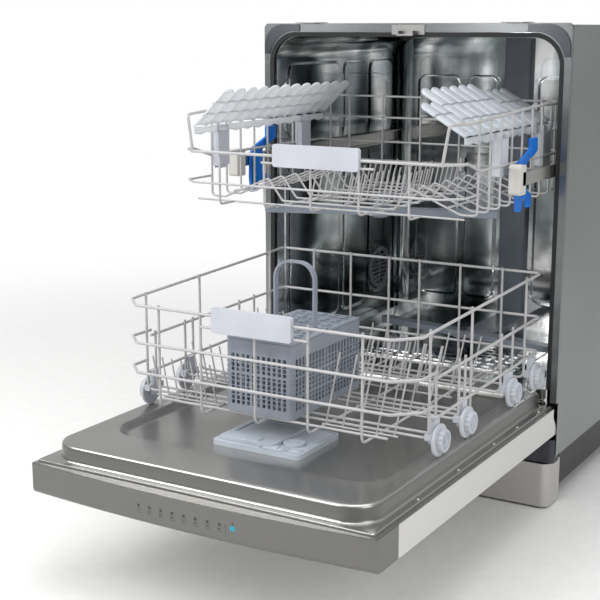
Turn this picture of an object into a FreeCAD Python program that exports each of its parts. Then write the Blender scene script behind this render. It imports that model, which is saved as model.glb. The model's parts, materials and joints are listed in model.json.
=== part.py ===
import FreeCAD, Part
import math
import os

# Built-under dishwasher, 60 cm class, door open and both racks out.
# X is the width, Y runs into the cabinet, Z is up from the floor.
# The front frame plane is Y = 0. All lengths are in millimetres.

os.makedirs("parts", exist_ok=True)

# ---- cabinet -------------------------------------------------------------
WIDTH = 598.0            # body width for a 600 niche
HEIGHT = 850.0           # body top above the floor, feet part-way out
BODY_DEPTH = 556.0       # front frame plane to back cover
FOOT_HEIGHT = 24.0       # underside of the base above the floor
SHEET = 0.7              # tub, side and back sheet
BASE_TOP = 150.0         # top of the plastic base tray
BASE_STEP = 92.0         # the base is wider above this height
BASE_WALL = 3.0
BASE_FRONT = 30.0        # Y of the base front wall
PLINTH_BOTTOM = 4.0
PLINTH_TOP = 84.0
PLINTH_HALF = WIDTH / 2 - 10.0
PLINTH_RETURN = 62.0     # length of the plinth's side returns
FASCIA_TOP = 130.0       # dark cover between plinth and door
FOOT_X = PLINTH_HALF - 44.0
FOOT_FRONT_Y = 75.0
FOOT_REAR_Y = BODY_DEPTH - 51.0
INLET_X = WIDTH / 2 - 59.0
INLET_R = 13.2           # 3/4 inch water thread, outside radius
INLET_OUT = 14.0         # free length behind the back cover
DRAIN_X = -WIDTH / 2 + 57.0
DRAIN_R = 10.5
DRAIN_OUT = 18.0
PORT_DROP = 1.5          # the connections are thinner inside the base
GLAND_X = 150.0
GLAND_R = 8.0

# ---- tub -----------------------------------------------------------------
TUB_GAP = 19.0           # inner side wall to the outside of the body
TUB_HALF = WIDTH / 2 - TUB_GAP
TUB_BACK = BODY_DEPTH - 8.0
TUB_TOP = HEIGHT - 24.0  # inner roof
TUB_CORNER = 50.0        # roof to side wall bend
LEDGE_Z = 222.0          # wheel ledges, level with the open door's rim
LEDGE_WIDTH = 30.0
TUB_FLOOR_Z = 203.0
SUMP_Y = 280.0           # sump and lower spray arm centre
SUMP_R = 96.0
FILTER_Y = SUMP_Y - 60.0
FILTER_R = 30.0
SALT_X = -118.0
SALT_R = 28.0
SUMP_DEPTH = 62.0
FRAME_WIDTH = 12.0       # side posts of the front frame
FRAME_OPEN_HALF = WIDTH / 2 - FRAME_WIDTH
FRAME_OPEN_TOP = HEIGHT - 16.0
FRAME_DEPTH = 10.0
GASKET_WIDTH = 8.0
DUCT_DEPTH = 14.0
VENT_Y = TUB_BACK - 103.0
VENT_Z = 316.0
RUN = 0.3                # clearance between faces that move past each other

# ---- door ----------------------------------------------------------------
DOOR_HALF = WIDTH / 2 - 2.0
DOOR_LENGTH = 678.0      # frame plane to the open door's far end
FLANGE_Z = 191.0         # inner flange of the open door
DOOR_UNDER_Z = 141.0     # outer skin of the open door
DOOR_SKIN = 0.8
DOOR_TAIL = 14.0         # outer skin behind the frame plane
RIM_INSET = 21.0         # liner's raised rim in from the sides
RIM_FRONT_INSET = 16.0
RIM_CORNER = 46.0
RIM_WIDTH = 38.0
RIM_FRONT_WIDTH = 92.0
PAN_DEPTH = 13.0
PAN_SLOPE = 38.0
PANEL_DEPTH = 64.0       # control panel, measured along the door
PANEL_BOW = 14.0
KEY_Z = 168.0            # touch keys' centre line
HINGE_Y = -14.0
HINGE_Z = 180.0
SPRING_R = 6.5
HINGE_ARM = 120.0        # length of the arm inside the door
HINGE_GAP = 5.0          # arm to the outside of the door
ARM_SHEET = 3.5
DISPENSER_W = 158.0
DISPENSER_L = 128.0
DISPENSER_Y = -446.0     # centre
DISPENSER_TOP = 8.0      # above the pan

# ---- lower rack ----------------------------------------------------------
LR_GAP = 20.0            # side rails to the tub wall
LR_HALF = TUB_HALF - LR_GAP
LR_FRONT = -503.0
LR_BACK = 4.0
LR_CHAMFER = 34.0
LR_LEAD = 6.0            # straight end of a corner rail before its first bend
LR_TURN = 14.0           # upright to the end of its foot
LR_TOP_Z = 412.0         # rails at the front; they rise towards the back
LR_TOP_RISE = 15.0
LR_MID_Z = 351.0
LR_LOW_Z = 302.0
LR_SIDE_MID_Z = 340.0
LR_SIDE_LOW_Z = 279.0
LR_SIDE_RISE = 10.0
LR_SIDE_Y = -452.0       # side walls begin
LR_WRAP_Y = (-421.0, -431.0)     # ends of the middle and low front rails
LR_FLOOR_Z = 250.0
LR_CROSS = 3.8           # cross wires above the long floor wires
LR_FRONT_X = (-184.0, -104.0, -5.0, 88.0, 179.0)
LR_BACK_X = (-191.0, -111.0, -31.0, 31.0, 111.0, 191.0)
LR_HIGH_Y = (-437.0, -285.0, -54.0)
LR_SHORT_Y = (-414.0, -330.0, -307.0, -160.0, -110.0)
LR_THICK = 2.4           # radius of the rails
LR_WIRE = 2.1            # radius of the uprights
LR_THIN = 1.5            # radius of the tines
LR_TRAVEL = 527.0
WHEEL_R = 25.0
DRUM_R = 18.0
WHEEL_Y = (-418.0, -316.0, -127.0, -18.0)
TINE_Y = (-450.0, -340.0, -222.0, -132.0)

# ---- cutlery basket ------------------------------------------------------
BASKET_X0 = -75.0
BASKET_X1 = 46.0
BASKET_Y0 = -474.0
BASKET_Y1 = -254.0
BASKET_H = 116.0
BASKET_WALL = 2.5
BASKET_EDGE = 8.0        # corner radius
STRAP_HALF = 38.0        # carrying strap
STRAP_RISE = 110.0
STRAP_T = 3.6
STRAP_W = 10.0
LID_AXIS = 2.6           # hinge line above the basket
LID_BARREL = 2.2
LID_PIN = 1.0

# ---- upper rack ----------------------------------------------------------
UR_GAP = 30.0
UR_HALF = TUB_HALF - UR_GAP
UR_FRONT = -345.0
UR_BACK = 128.0
UR_TOP_Z = TUB_TOP - 112.0       # the upper rack hangs from the roof's height
UR_TOP_FRONT_Z = UR_TOP_Z - 12.0
UR_LEVEL_Y = -24.0       # the top rails are level behind here
UR_FRONT_Z = UR_TOP_Z - 71.0
UR_RING_Z = UR_TOP_Z - 122.0
UR_SIDE_Z = UR_TOP_Z - 86.0
UR_BACK_Z = UR_TOP_Z - 40.0
UR_SIDE_Y = -293.0       # side walls begin
UR_HANDLE_X = 12.0
UR_FRONT_X = (-172.0, -86.0, 0.0, 86.0, 172.0)
UR_BACK_X = (-184.0, -112.0, -32.0, 48.0, 128.0, 208.0)
UR_FLOOR_Z = UR_TOP_Z - 156.0
UR_THICK = 2.4
UR_WIRE = 1.9
ARM_REACH = 206.0
UR_TRAVEL = 392.0
UR_DROP = 50.0
ARM_PIPE_Z = UR_FLOOR_Z - 12.0
SHELF_X = UR_HALF - 12.0 # cup shelf hinge line
SHELF_Z = UR_TOP_Z - 38.0
SHELF_BARREL = 4.5
SHELF_PIN = 2.0
UR_ROW_R = 1.7           # radius of the crosswise floor wires
UR_ROWS = [-300.0 + i * 45.0 for i in range(9)]
SLIDE_Z = UR_TOP_Z - 108.0          # telescopic rail centre line
SLIDE_H = 26.0
SLIDE_FRONT = -147.0
SLIDE_LEN = 285.0
RAIL_FRONT = 66.0        # front end of the fixed rails
RAIL_DEPTH = 9.5
RUNNER_DEPTH = 12.0      # middle rail, sticks out of the fixed one
SLIDER_DEPTH = 6.0       # rack side member beside the middle rail

# The pieces are drawn from the front frame plane and saved from the middle of the open machine.
ORIGIN_SHIFT = (DOOR_LENGTH + PANEL_BOW - BODY_DEPTH - DRAIN_OUT) / 2

V = FreeCAD.Vector


def save(name, shapes):
    """Write one named piece; a list becomes a compound of separate solids."""
    shape = shapes.copy() if not isinstance(shapes, list) else Part.makeCompound(shapes).copy()
    shape.translate(V(0, ORIGIN_SHIFT, 0))
    shape.exportStep("parts/" + name + ".step")


def box(x0, x1, y0, y1, z0, z1):
    return Part.makeBox(x1 - x0, y1 - y0, z1 - z0, V(x0, y0, z0))


def cyl(x, y, z, radius, height, axis=V(0, 0, 1)):
    return Part.makeCylinder(radius, height, V(x, y, z), axis)


def fuse(shapes):
    """Join pieces of one moulding, sheet or weldment."""
    first = shapes[0]
    joined = first.multiFuse(shapes[1:]) if len(shapes) > 1 else first
    return joined.removeSplitter()


def cut(body, tools):
    return body.cut(Part.makeCompound(tools)) if tools else body


def prism(points, vector):
    """Extrude a closed polygon of 3D points."""
    wire = Part.makePolygon(points + [points[0]])
    return Part.Face(wire).extrude(vector)


def prism_yz(points, x0, x1):
    return prism([V(x0, y, z) for y, z in points], V(x1 - x0, 0, 0))


def prism_xz(points, y0, y1):
    return prism([V(x, y0, z) for x, z in points], V(0, y1 - y0, 0))


def prism_xy(points, z0, z1):
    return prism([V(x, y, z0) for x, y in points], V(0, 0, z1 - z0))


def rounded_outline(x0, x1, y0, y1, radii, z):
    """Rectangle in XY with a radius for each corner, from x0,y0 anticlockwise."""
    corners = [(x0, y0, 1, 1), (x1, y0, -1, 1), (x1, y1, -1, -1), (x0, y1, 1, -1)]
    edges = []
    ends = []
    for (cx, cy, sx, sy), r in zip(corners, radii):
        into = V(cx, cy + sy * r, z)
        out = V(cx + sx * r, cy, z)
        if sx * sy < 0:
            into, out = out, into
        mid = V(cx + sx * r * (1 - math.sqrt(0.5)), cy + sy * r * (1 - math.sqrt(0.5)), z)
        ends.append((into, mid, out, r))
    for i, (into, mid, out, r) in enumerate(ends):
        if r > 0:
            edges.append(Part.Arc(into, mid, out).toShape())
        nxt = ends[(i + 1) % 4][0]
        edges.append(Part.makeLine(out, nxt))
    return Part.Wire(edges)


def rounded_block(x0, x1, y0, y1, z0, z1, radii):
    radii = radii if isinstance(radii, tuple) else (radii,) * 4
    return Part.Face(rounded_outline(x0, x1, y0, y1, radii, z0)).extrude(V(0, 0, z1 - z0))


def rod(points, radius, bend=0.0):
    """Round bar through the points, with a bend radius at inner points."""
    pts = [V(*p) for p in points]
    edges = []
    start = pts[0]
    for i in range(1, len(pts) - 1):
        a = (pts[i] - pts[i - 1]).normalize()
        b = (pts[i + 1] - pts[i]).normalize()
        turn = math.acos(max(-1.0, min(1.0, a.dot(b))))
        if turn < 1e-6:
            continue
        reach = bend * math.tan(turn / 2)
        p = pts[i] - a * reach
        q = pts[i] + b * reach
        middle = (b - a).normalize() * (bend / math.cos(turn / 2) - bend) + pts[i]
        edges.append(Part.makeLine(start, p))
        edges.append(Part.Arc(p, middle, q).toShape())
        start = q
    edges.append(Part.makeLine(start, pts[-1]))
    path = Part.Wire(edges)
    head = (pts[1] - pts[0]).normalize()
    ring = Part.Wire([Part.makeCircle(radius, pts[0], head)])
    return path.makePipeShell([ring], True, False)


def mirror_x(shape):
    return shape.mirror(V(0, 0, 0), V(1, 0, 0))


def both_sides(shape):
    return [shape, mirror_x(shape)]


def xz_ring(half_in, half_out, top_in, top_out, low, y0, y1, r_in, r_out):
    """Inverted U in XZ with rounded upper corners, extruded along Y."""
    def side(half, top, r):
        k = r * (1 - math.sqrt(0.5))
        left = Part.Arc(V(-half, y0, top - r), V(-half + k, y0, top - k), V(-half + r, y0, top)).toShape()
        right = Part.Arc(V(half - r, y0, top), V(half - k, y0, top - k), V(half, y0, top - r)).toShape()
        return [Part.makeLine(V(-half, y0, low), V(-half, y0, top - r)), left,
                Part.makeLine(V(-half + r, y0, top), V(half - r, y0, top)), right,
                Part.makeLine(V(half, y0, top - r), V(half, y0, low)),
                Part.makeLine(V(half, y0, low), V(-half, y0, low))]
    outer = Part.Face(Part.Wire(side(half_out, top_out, r_out))).extrude(V(0, y1 - y0, 0))
    inner = Part.Face(Part.Wire(side(half_in, top_in, r_in))).extrude(V(0, y1 - y0, 0))
    return outer.cut(inner)


def ring_pieces(half_in, half_out, top_in, top_out, low, y0, y1, r_in, r_out):
    """The same ring as two posts, a top bar and two corners that meet end to end."""
    ring = xz_ring(half_in, half_out, top_in, top_out, low, y0, y1, r_in, r_out)
    a = half_in - r_in
    b = half_out + 1
    c = top_in - r_in
    d = top_out + 1
    blocks = [box(-b, 0, y0, y1, low, c), box(0, b, y0, y1, low, c), box(-a, a, y0, y1, c, d),
              box(-b, -a, y0, y1, c, d), box(a, b, y0, y1, c, d)]
    return [ring.common(block) for block in blocks]


# ---- cabinet body --------------------------------------------------------
def build_base():
    side = WIDTH / 2 - SHEET
    low = PLINTH_HALF - 6
    lower = box(-low, low, BASE_FRONT, BODY_DEPTH - 4, FOOT_HEIGHT, BASE_STEP)
    upper = box(-side, side, BASE_FRONT, BODY_DEPTH - 4, BASE_STEP, BASE_TOP)
    w = BASE_WALL
    inside = [box(-low + w, low - w, BASE_FRONT + w, BODY_DEPTH - 4 - w, FOOT_HEIGHT + w, BASE_TOP)]
    inside.append(box(-side + w, side - w, BASE_FRONT + w, BODY_DEPTH - 4 - w, BASE_STEP + w, BASE_TOP))
    port_z = FOOT_HEIGHT + BASE_WALL + 30
    ports = [cyl(x, BODY_DEPTH - 14, port_z, r + RUN, 20, V(0, 1, 0))
             for x, r in ((INLET_X, INLET_R), (DRAIN_X, DRAIN_R), (GLAND_X, GLAND_R))]
    save("base_tray", cut(fuse([lower, upper]), inside + ports))

    feet = []
    for x in (-FOOT_X, FOOT_X):
        for y in (FOOT_FRONT_Y, FOOT_REAR_Y):
            pad = cyl(x, y, 0, 19, 7)
            stem = cyl(x, y, 7, 6, FOOT_HEIGHT - 7 - 4)
            collar = cyl(x, y, FOOT_HEIGHT - 4, 14, 4)
            feet.append(fuse([pad, stem, collar]))
    save("levelling_feet", feet)

    r = 15.0
    outer = rounded_block(-PLINTH_HALF, PLINTH_HALF, 0, PLINTH_RETURN, PLINTH_BOTTOM, PLINTH_TOP, (r, r, 0, 0))
    inner = rounded_block(-PLINTH_HALF + 2, PLINTH_HALF - 2, 2, PLINTH_RETURN, PLINTH_BOTTOM, PLINTH_TOP,
                          (r - 2, r - 2, 0, 0))
    clips = [box(x - 6, x + 6, 1.5, BASE_FRONT, 34, 64) for x in (-180, 0, 180)]
    save("plinth", fuse([outer.cut(inner)] + clips))

    f = WIDTH / 2 - 2
    front = rounded_block(-f, f, 1, BASE_FRONT, PLINTH_TOP + 3, FASCIA_TOP, (10, 10, 0, 0))
    hollow = rounded_block(-f + 2.5, f - 2.5, 3.5, BASE_FRONT, PLINTH_TOP + 3, FASCIA_TOP, (8, 8, 0, 0))
    save("base_fascia", front.cut(hollow))


def build_covers():
    half = WIDTH / 2
    low = BASE_TOP - 50
    sides = both_sides(box(half - SHEET, half, FRAME_DEPTH, BODY_DEPTH - SHEET, low, HEIGHT - 4))
    vents = [box(-60, 60, BODY_DEPTH - SHEET - 1, BODY_DEPTH + 1, z, z + 4) for z in range(180, 260, 12)]
    back = box(-half, half, BODY_DEPTH - SHEET, BODY_DEPTH, low, HEIGHT - 4)
    top = box(-half, half, FRAME_DEPTH, BODY_DEPTH, HEIGHT - 4, HEIGHT - 3)
    save("outer_covers", sides + [cut(back, vents), top])


def wall_pad(x0, x1, y0, y1, z0, z1, axis):
    """Shallow pressed panel with rounded corners on a wall."""
    r = 22.0
    if axis == "x":
        flat = rounded_block(y0, y1, z0, z1, 0, abs(x1 - x0), r)
        flat.rotate(V(0, 0, 0), V(1, 1, 1), 120)
        flat.translate(V(min(x0, x1), 0, 0))
        return flat
    flat = rounded_block(x0, x1, z0, z1, 0, abs(y1 - y0), r)
    flat.rotate(V(0, 0, 0), V(1, 0, 0), 90)
    flat.translate(V(0, max(y0, y1), 0))
    return flat


def build_tub():
    t = SHEET
    wall_top = TUB_TOP - TUB_CORNER - 8
    split = TUB_BACK - 168
    under = SLIDE_Z - 46
    pads = ((40, split - 20, LEDGE_Z + 38, under), (40, split - 20, SLIDE_Z + 34, wall_top - 18),
            (split + 20, split + 120, under - 160, under))
    front = FRAME_DEPTH + t
    left = [box(-TUB_HALF - t, -TUB_HALF, front, TUB_BACK, LEDGE_Z, wall_top)]
    for y0, y1, z0, z1 in pads:
        left.append(wall_pad(-TUB_HALF - 0.2, -TUB_HALF + 1.8, y0, y1, z0, z1, "x"))
    vent_hole = cyl(-TUB_HALF - 5, VENT_Y, VENT_Z, 36, 12, V(1, 0, 0))
    wall_left = fuse(left)
    shell = [wall_left.cut(vent_hole), mirror_x(wall_left)]
    shell += ring_pieces(TUB_HALF, TUB_HALF + t, TUB_TOP, TUB_TOP + t, wall_top, front, TUB_BACK,
                         TUB_CORNER, TUB_CORNER + t)
    shell += ring_pieces(TUB_HALF, FRAME_OPEN_HALF + 2, TUB_TOP, FRAME_OPEN_TOP + 2, LEDGE_Z, FRAME_DEPTH, front,
                         TUB_CORNER, TUB_CORNER + 7)
    rear = [box(-TUB_HALF - t, TUB_HALF + t, TUB_BACK, TUB_BACK + t, LEDGE_Z - 60, TUB_TOP + t)]
    edge = TUB_HALF - 45
    for x0, x1 in ((-edge, -48), (48, edge)):
        for z0, z1 in ((under, TUB_TOP - 46), (LEDGE_Z + 48, under - 30)):
            rear.append(wall_pad(x0, x1, TUB_BACK - 1.8, TUB_BACK + 0.2, z0, z1, "y"))
    shell.append(fuse(rear))
    save("tub_shell", shell)
    build_tub_floor()
    build_sump()


def build_tub_floor():
    """Ledges, slopes and floor sheets round the sump, with the sill and two cross walls."""
    t = 2.0
    inner = TUB_HALF - LEDGE_WIDTH
    flat = inner - 14
    edge = TUB_HALF + SHEET
    y0 = FRAME_DEPTH - 6
    floor = []
    for s in (-1, 1):
        ledge = [(s * inner, LEDGE_Z - t), (s * edge, LEDGE_Z - t), (s * edge, LEDGE_Z), (s * inner, LEDGE_Z)]
        slope = [(s * inner, LEDGE_Z - t), (s * inner, LEDGE_Z), (s * flat, TUB_FLOOR_Z), (s * flat, TUB_FLOOR_Z - t)]
        floor += [prism_xz(ledge, y0, TUB_BACK), prism_xz(slope, y0, TUB_BACK)]
    front = SUMP_Y - SUMP_R
    rear = SUMP_Y + SUMP_R
    holes = Part.makeCompound([cyl(0, SUMP_Y, TUB_FLOOR_Z - 20, SUMP_R, 60),
                               cyl(SALT_X, FILTER_Y, TUB_FLOOR_Z - 20, SALT_R + 1, 60)])
    floor.append(box(-flat, flat, y0, front, TUB_FLOOR_Z - t, TUB_FLOOR_Z))
    floor.append(box(-flat, flat, rear, TUB_BACK, TUB_FLOOR_Z - t, TUB_FLOOR_Z))
    for s in (-1, 1):
        x0, x1 = sorted((s * SUMP_R, s * flat))
        floor.append(box(x0, x1, front, rear, TUB_FLOOR_Z - t, TUB_FLOOR_Z).cut(holes))
        x0, x1 = sorted((0, s * SUMP_R))
        for y_a, y_b in ((front, SUMP_Y), (SUMP_Y, rear)):
            floor.append(box(x0, x1, y_a, y_b, TUB_FLOOR_Z - t, TUB_FLOOR_Z).cut(holes))

    low = FLANGE_Z - 8
    dip = TUB_FLOOR_Z + 4
    sill_back = FRAME_DEPTH - 6
    floor.append(box(-flat, flat, 1, sill_back, low, dip))
    for s in (-1, 1):
        end = [(s * flat, low), (s * edge, low), (s * edge, LEDGE_Z), (s * inner, LEDGE_Z), (s * flat, dip)]
        floor.append(prism_xz(end, 1, sill_back))
    rim = WIDTH / 2 - SHEET - RUN
    for y in (72, TUB_BACK - 20):
        floor.append(box(-rim, rim, y, y + 2, BASE_TOP, TUB_FLOOR_Z - t))
    save("tub_floor", floor)


def build_sump():
    cup = cyl(0, SUMP_Y, TUB_FLOOR_Z - SUMP_DEPTH, SUMP_R + 2, SUMP_DEPTH - 2)
    cup_in = cyl(0, SUMP_Y, TUB_FLOOR_Z - SUMP_DEPTH + 3, SUMP_R - 1, SUMP_DEPTH)
    lip = cyl(0, SUMP_Y, TUB_FLOOR_Z - 6, SUMP_R + 2, 4)
    well = fuse([cup, lip]).cut(cup_in)
    hub = fuse([cyl(0, SUMP_Y, TUB_FLOOR_Z + 2.5, 22, 7), cyl(0, SUMP_Y, TUB_FLOOR_Z + 9, 14, 12.7),
                cyl(0, SUMP_Y, TUB_FLOOR_Z + 21, 8, 18)])
    pot = cyl(SALT_X, FILTER_Y, TUB_FLOOR_Z - 56, SALT_R + 5, 54)
    pot = pot.cut(cyl(SALT_X, FILTER_Y, TUB_FLOOR_Z - 53, SALT_R + 2, 60))
    save("sump_well", [well.cut(pot), pot, hub])


def build_front_frame():
    half = WIDTH / 2
    save("front_frame", ring_pieces(FRAME_OPEN_HALF, half, FRAME_OPEN_TOP, HEIGHT, FLANGE_Z + 8, 0, FRAME_DEPTH,
                                    55, 10))
    g = GASKET_WIDTH
    save("door_gasket", ring_pieces(FRAME_OPEN_HALF - g, FRAME_OPEN_HALF - RUN, FRAME_OPEN_TOP - g,
                                    FRAME_OPEN_TOP - RUN, LEDGE_Z, 0.5, FRAME_DEPTH - RUN, 55 - g, 55 - RUN))
    caps = []
    for sign in (-1, 1):
        face = xz_ring(FRAME_OPEN_HALF + 1.5, half - 1.5, FRAME_OPEN_TOP + 1.5, HEIGHT - 1.5,
                       FRAME_OPEN_TOP - 66, -2, 0, 53.5, 40)
        a, b = sorted((sign * (half - 77), sign * (half + 5)))
        keep = box(a, b, -3, 1, FRAME_OPEN_TOP - 40, HEIGHT)
        caps.append(face.common(keep))
    save("corner_covers", caps)
    plate = box(-32, 32, -1.5, 0, FRAME_OPEN_TOP - 4, HEIGHT - 3)
    tongue = box(-12, 12, -16, -1, FRAME_OPEN_TOP - 6, FRAME_OPEN_TOP - 3)
    legs = [box(x - 2, x + 2, -16, -1, FRAME_OPEN_TOP - 6, FRAME_OPEN_TOP + 3) for x in (-14, 14)]
    save("latch_catch", fuse([plate, tongue] + legs))
    brackets = []
    for x in (99 - WIDTH / 2, WIDTH / 2 - 99):
        flat = box(x - 20, x + 20, -18, 30, HEIGHT, HEIGHT + 1.5)
        hole = cyl(x, -9, HEIGHT - 1, 2.5, 4)
        brackets.append(flat.cut(hole))
    save("worktop_brackets", brackets)


def build_tub_fittings():
    x = -TUB_HALF
    ring = cyl(x, VENT_Y, VENT_Z, 47, 4, V(1, 0, 0)).cut(cyl(x - 1, VENT_Y, VENT_Z, 37, 10, V(1, 0, 0)))
    inside = cyl(x, VENT_Y, VENT_Z, 39, 4, V(1, 0, 0))
    bars = [box(x, x + 3, VENT_Y - 39, VENT_Y + 39, VENT_Z + d * 9 - 1.5, VENT_Z + d * 9 + 1.5) for d in range(-3, 4)]
    bars.append(box(x, x + 3, VENT_Y - 2, VENT_Y + 2, VENT_Z - 39, VENT_Z + 39))
    grille = fuse([ring] + [bar.common(inside) for bar in bars])
    save("vent_grille", grille)

    back = TUB_BACK
    duct = rounded_block(-30, 30, back - DUCT_DEPTH, back, 232, TUB_TOP - 6, (5, 5, 0, 0))
    port = cyl(0, back - DUCT_DEPTH - 3, ARM_PIPE_Z, 13, 5, V(0, 1, 0))
    low = prism_xy([(-34, SUMP_Y + 84), (34, SUMP_Y + 84), (30, back), (-30, back)], TUB_FLOOR_Z, TUB_FLOOR_Z + 15)
    heel = box(-30, 30, back - DUCT_DEPTH, back, TUB_FLOOR_Z + 15, 232)
    save("water_duct", [fuse([duct, port, heel]), low])

    rails = []
    for side in (-1, 1):
        x0, x1 = sorted((side * TUB_HALF, side * (TUB_HALF - RAIL_DEPTH)))
        y1 = TUB_BACK - 6
        bar = box(x0, x1, RAIL_FRONT, y1, SLIDE_Z - SLIDE_H / 2, SLIDE_Z + SLIDE_H / 2)
        x2, x3 = sorted((side * (TUB_HALF - 1.5), side * (TUB_HALF - 20)))
        slot = box(x2, x3, RAIL_FRONT - 1, y1 - 3, SLIDE_Z - SLIDE_H / 2 + 2, SLIDE_Z + SLIDE_H / 2 - 2)
        rails.append(bar.cut(slot))
    save("slide_rails", rails)

    plate = rounded_block(-168, 168, SUMP_Y - 150, SUMP_Y + 60, TUB_FLOOR_Z, TUB_FLOOR_Z + 2.5, 30)
    opening = cyl(0, FILTER_Y, TUB_FLOOR_Z - 5, FILTER_R + 1, 12)
    salt_hole = cyl(SALT_X, FILTER_Y, TUB_FLOOR_Z - 5, SALT_R + 1, 12)
    grid = []
    for i in range(13):
        x = -156 + i * 26
        for y in (SUMP_Y - 140, SUMP_Y - 118):
            grid.append(box(x - 9, x + 9, y, y + 12, TUB_FLOOR_Z - 1, TUB_FLOOR_Z + 4))
    for i in range(5):
        for y in (SUMP_Y - 92, SUMP_Y - 70, SUMP_Y - 48, SUMP_Y - 26, SUMP_Y - 4):
            x = 62 + i * 20
            grid.append(box(x, x + 14, y, y + 14, TUB_FLOOR_Z - 1, TUB_FLOOR_Z + 4))
    save("filter_plate", cut(plate, [opening, salt_hole] + grid))


def build_filter_and_salt():
    y = FILTER_Y
    z = TUB_FLOOR_Z
    r = FILTER_R
    outer = cyl(0, y, z - 40, r, 46)
    bore = cyl(0, y, z - 37, r - 3, 60)
    slots = []
    for i in range(18):
        slot = box(r - 6, r + 6, -2.2, 2.2, z - 34, z - 6)
        slot.rotate(V(0, 0, 0), V(0, 0, 1), i * 20.0)
        slot.translate(V(0, y, 0))
        slots.append(slot)
    body = cut(outer.cut(bore), slots)
    rim = cyl(0, y, z + 3, r + 3, 3).cut(cyl(0, y, z, r - 3, 10))
    bar = box(-r + 2.5, r - 2.5, y - 3, y + 3, z + 2, z + 9)
    save("filter_cup", fuse([body, rim, bar]))

    neck = cyl(SALT_X, y, z - 22, SALT_R, 25)
    disc = cyl(SALT_X, y, z + 2.8, SALT_R + 5, 7)
    grip = box(SALT_X - 24, SALT_X + 24, y - 4, y + 4, z + 9, z + 18)
    save("salt_cap", fuse([disc, grip, neck]))


def build_machinery():
    z = FOOT_HEIGHT + BASE_WALL
    port_z = z + 30
    pump = [box(-140, -30, SUMP_Y - 60, SUMP_Y - 20, z, z + 6), cyl(-60, SUMP_Y - 40, z + 42, 36, 90, V(-1, 0, 0)),
            cyl(-20, SUMP_Y - 40, z + 42, 28, 40, V(-1, 0, 0))]
    drain = [cyl(100, SUMP_Y - 70, z + 26, 26, 60, V(0, 1, 0))]
    body0 = BODY_DEPTH - 86
    body1 = BODY_DEPTH - 56
    out = BODY_DEPTH + 1
    ports = []
    for x, r, reach, bore, half_w in ((INLET_X, INLET_R, INLET_OUT, 9.0, 25), (DRAIN_X, DRAIN_R, DRAIN_OUT, 7.5, 20)):
        port = fuse([box(x - half_w, x + half_w, body0, body1, z, z + 44),
                     cyl(x, body1, port_z, r - PORT_DROP, out - body1, V(0, 1, 0)),
                     cyl(x, out, port_z, r, reach - 1, V(0, 1, 0))])
        ports.append(port.cut(cyl(x, body1 + 5, port_z, bore, 80, V(0, 1, 0))))
    gland = fuse([cyl(GLAND_X, BODY_DEPTH - 36, port_z, GLAND_R, 42, V(0, 1, 0)),
                  box(GLAND_X - 30, GLAND_X + 30, BODY_DEPTH - 66, BODY_DEPTH - 35, z, z + 50)])
    save("wash_machinery", pump + drain + ports + [gland])
    back = BODY_DEPTH - 104
    save("rear_ballast", box(-205, 5, back - 50, back, z, z + 90))


# ---- door ----------------------------------------------------------------
def liner_solid(t):
    """Pressed inner liner; t insets every face to give the hollow side."""
    rim_top = LEDGE_Z - t
    x = DOOR_HALF - RIM_INSET - t
    y0 = -DOOR_LENGTH + RIM_FRONT_INSET + t
    y1 = -14.0 - t
    r = RIM_CORNER - t
    block = rounded_block(-x, x, y0, y1, FLANGE_Z, rim_top, (r, r, 14, 14))
    px = DOOR_HALF - RIM_INSET - RIM_WIDTH + t
    py0 = -DOOR_LENGTH + RIM_FRONT_INSET + RIM_FRONT_WIDTH - t
    py1 = -14.0 - RIM_WIDTH + 8 + t
    low = LEDGE_Z - PAN_DEPTH - t
    high = LEDGE_Z + 10
    k = PAN_SLOPE * (high - LEDGE_Z) / PAN_DEPTH
    top = rounded_outline(-px - k, px + k, py0 - k * 0.35, py1 + k * 0.35, (60 + k,) * 4, high)
    bottom = rounded_outline(-px + PAN_SLOPE, px - PAN_SLOPE, py0 + PAN_SLOPE * 0.35, py1 - PAN_SLOPE * 0.35,
                             (34,) * 4, low)
    pan = Part.makeLoft([bottom, top], True, True)
    return block.cut(pan)


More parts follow.
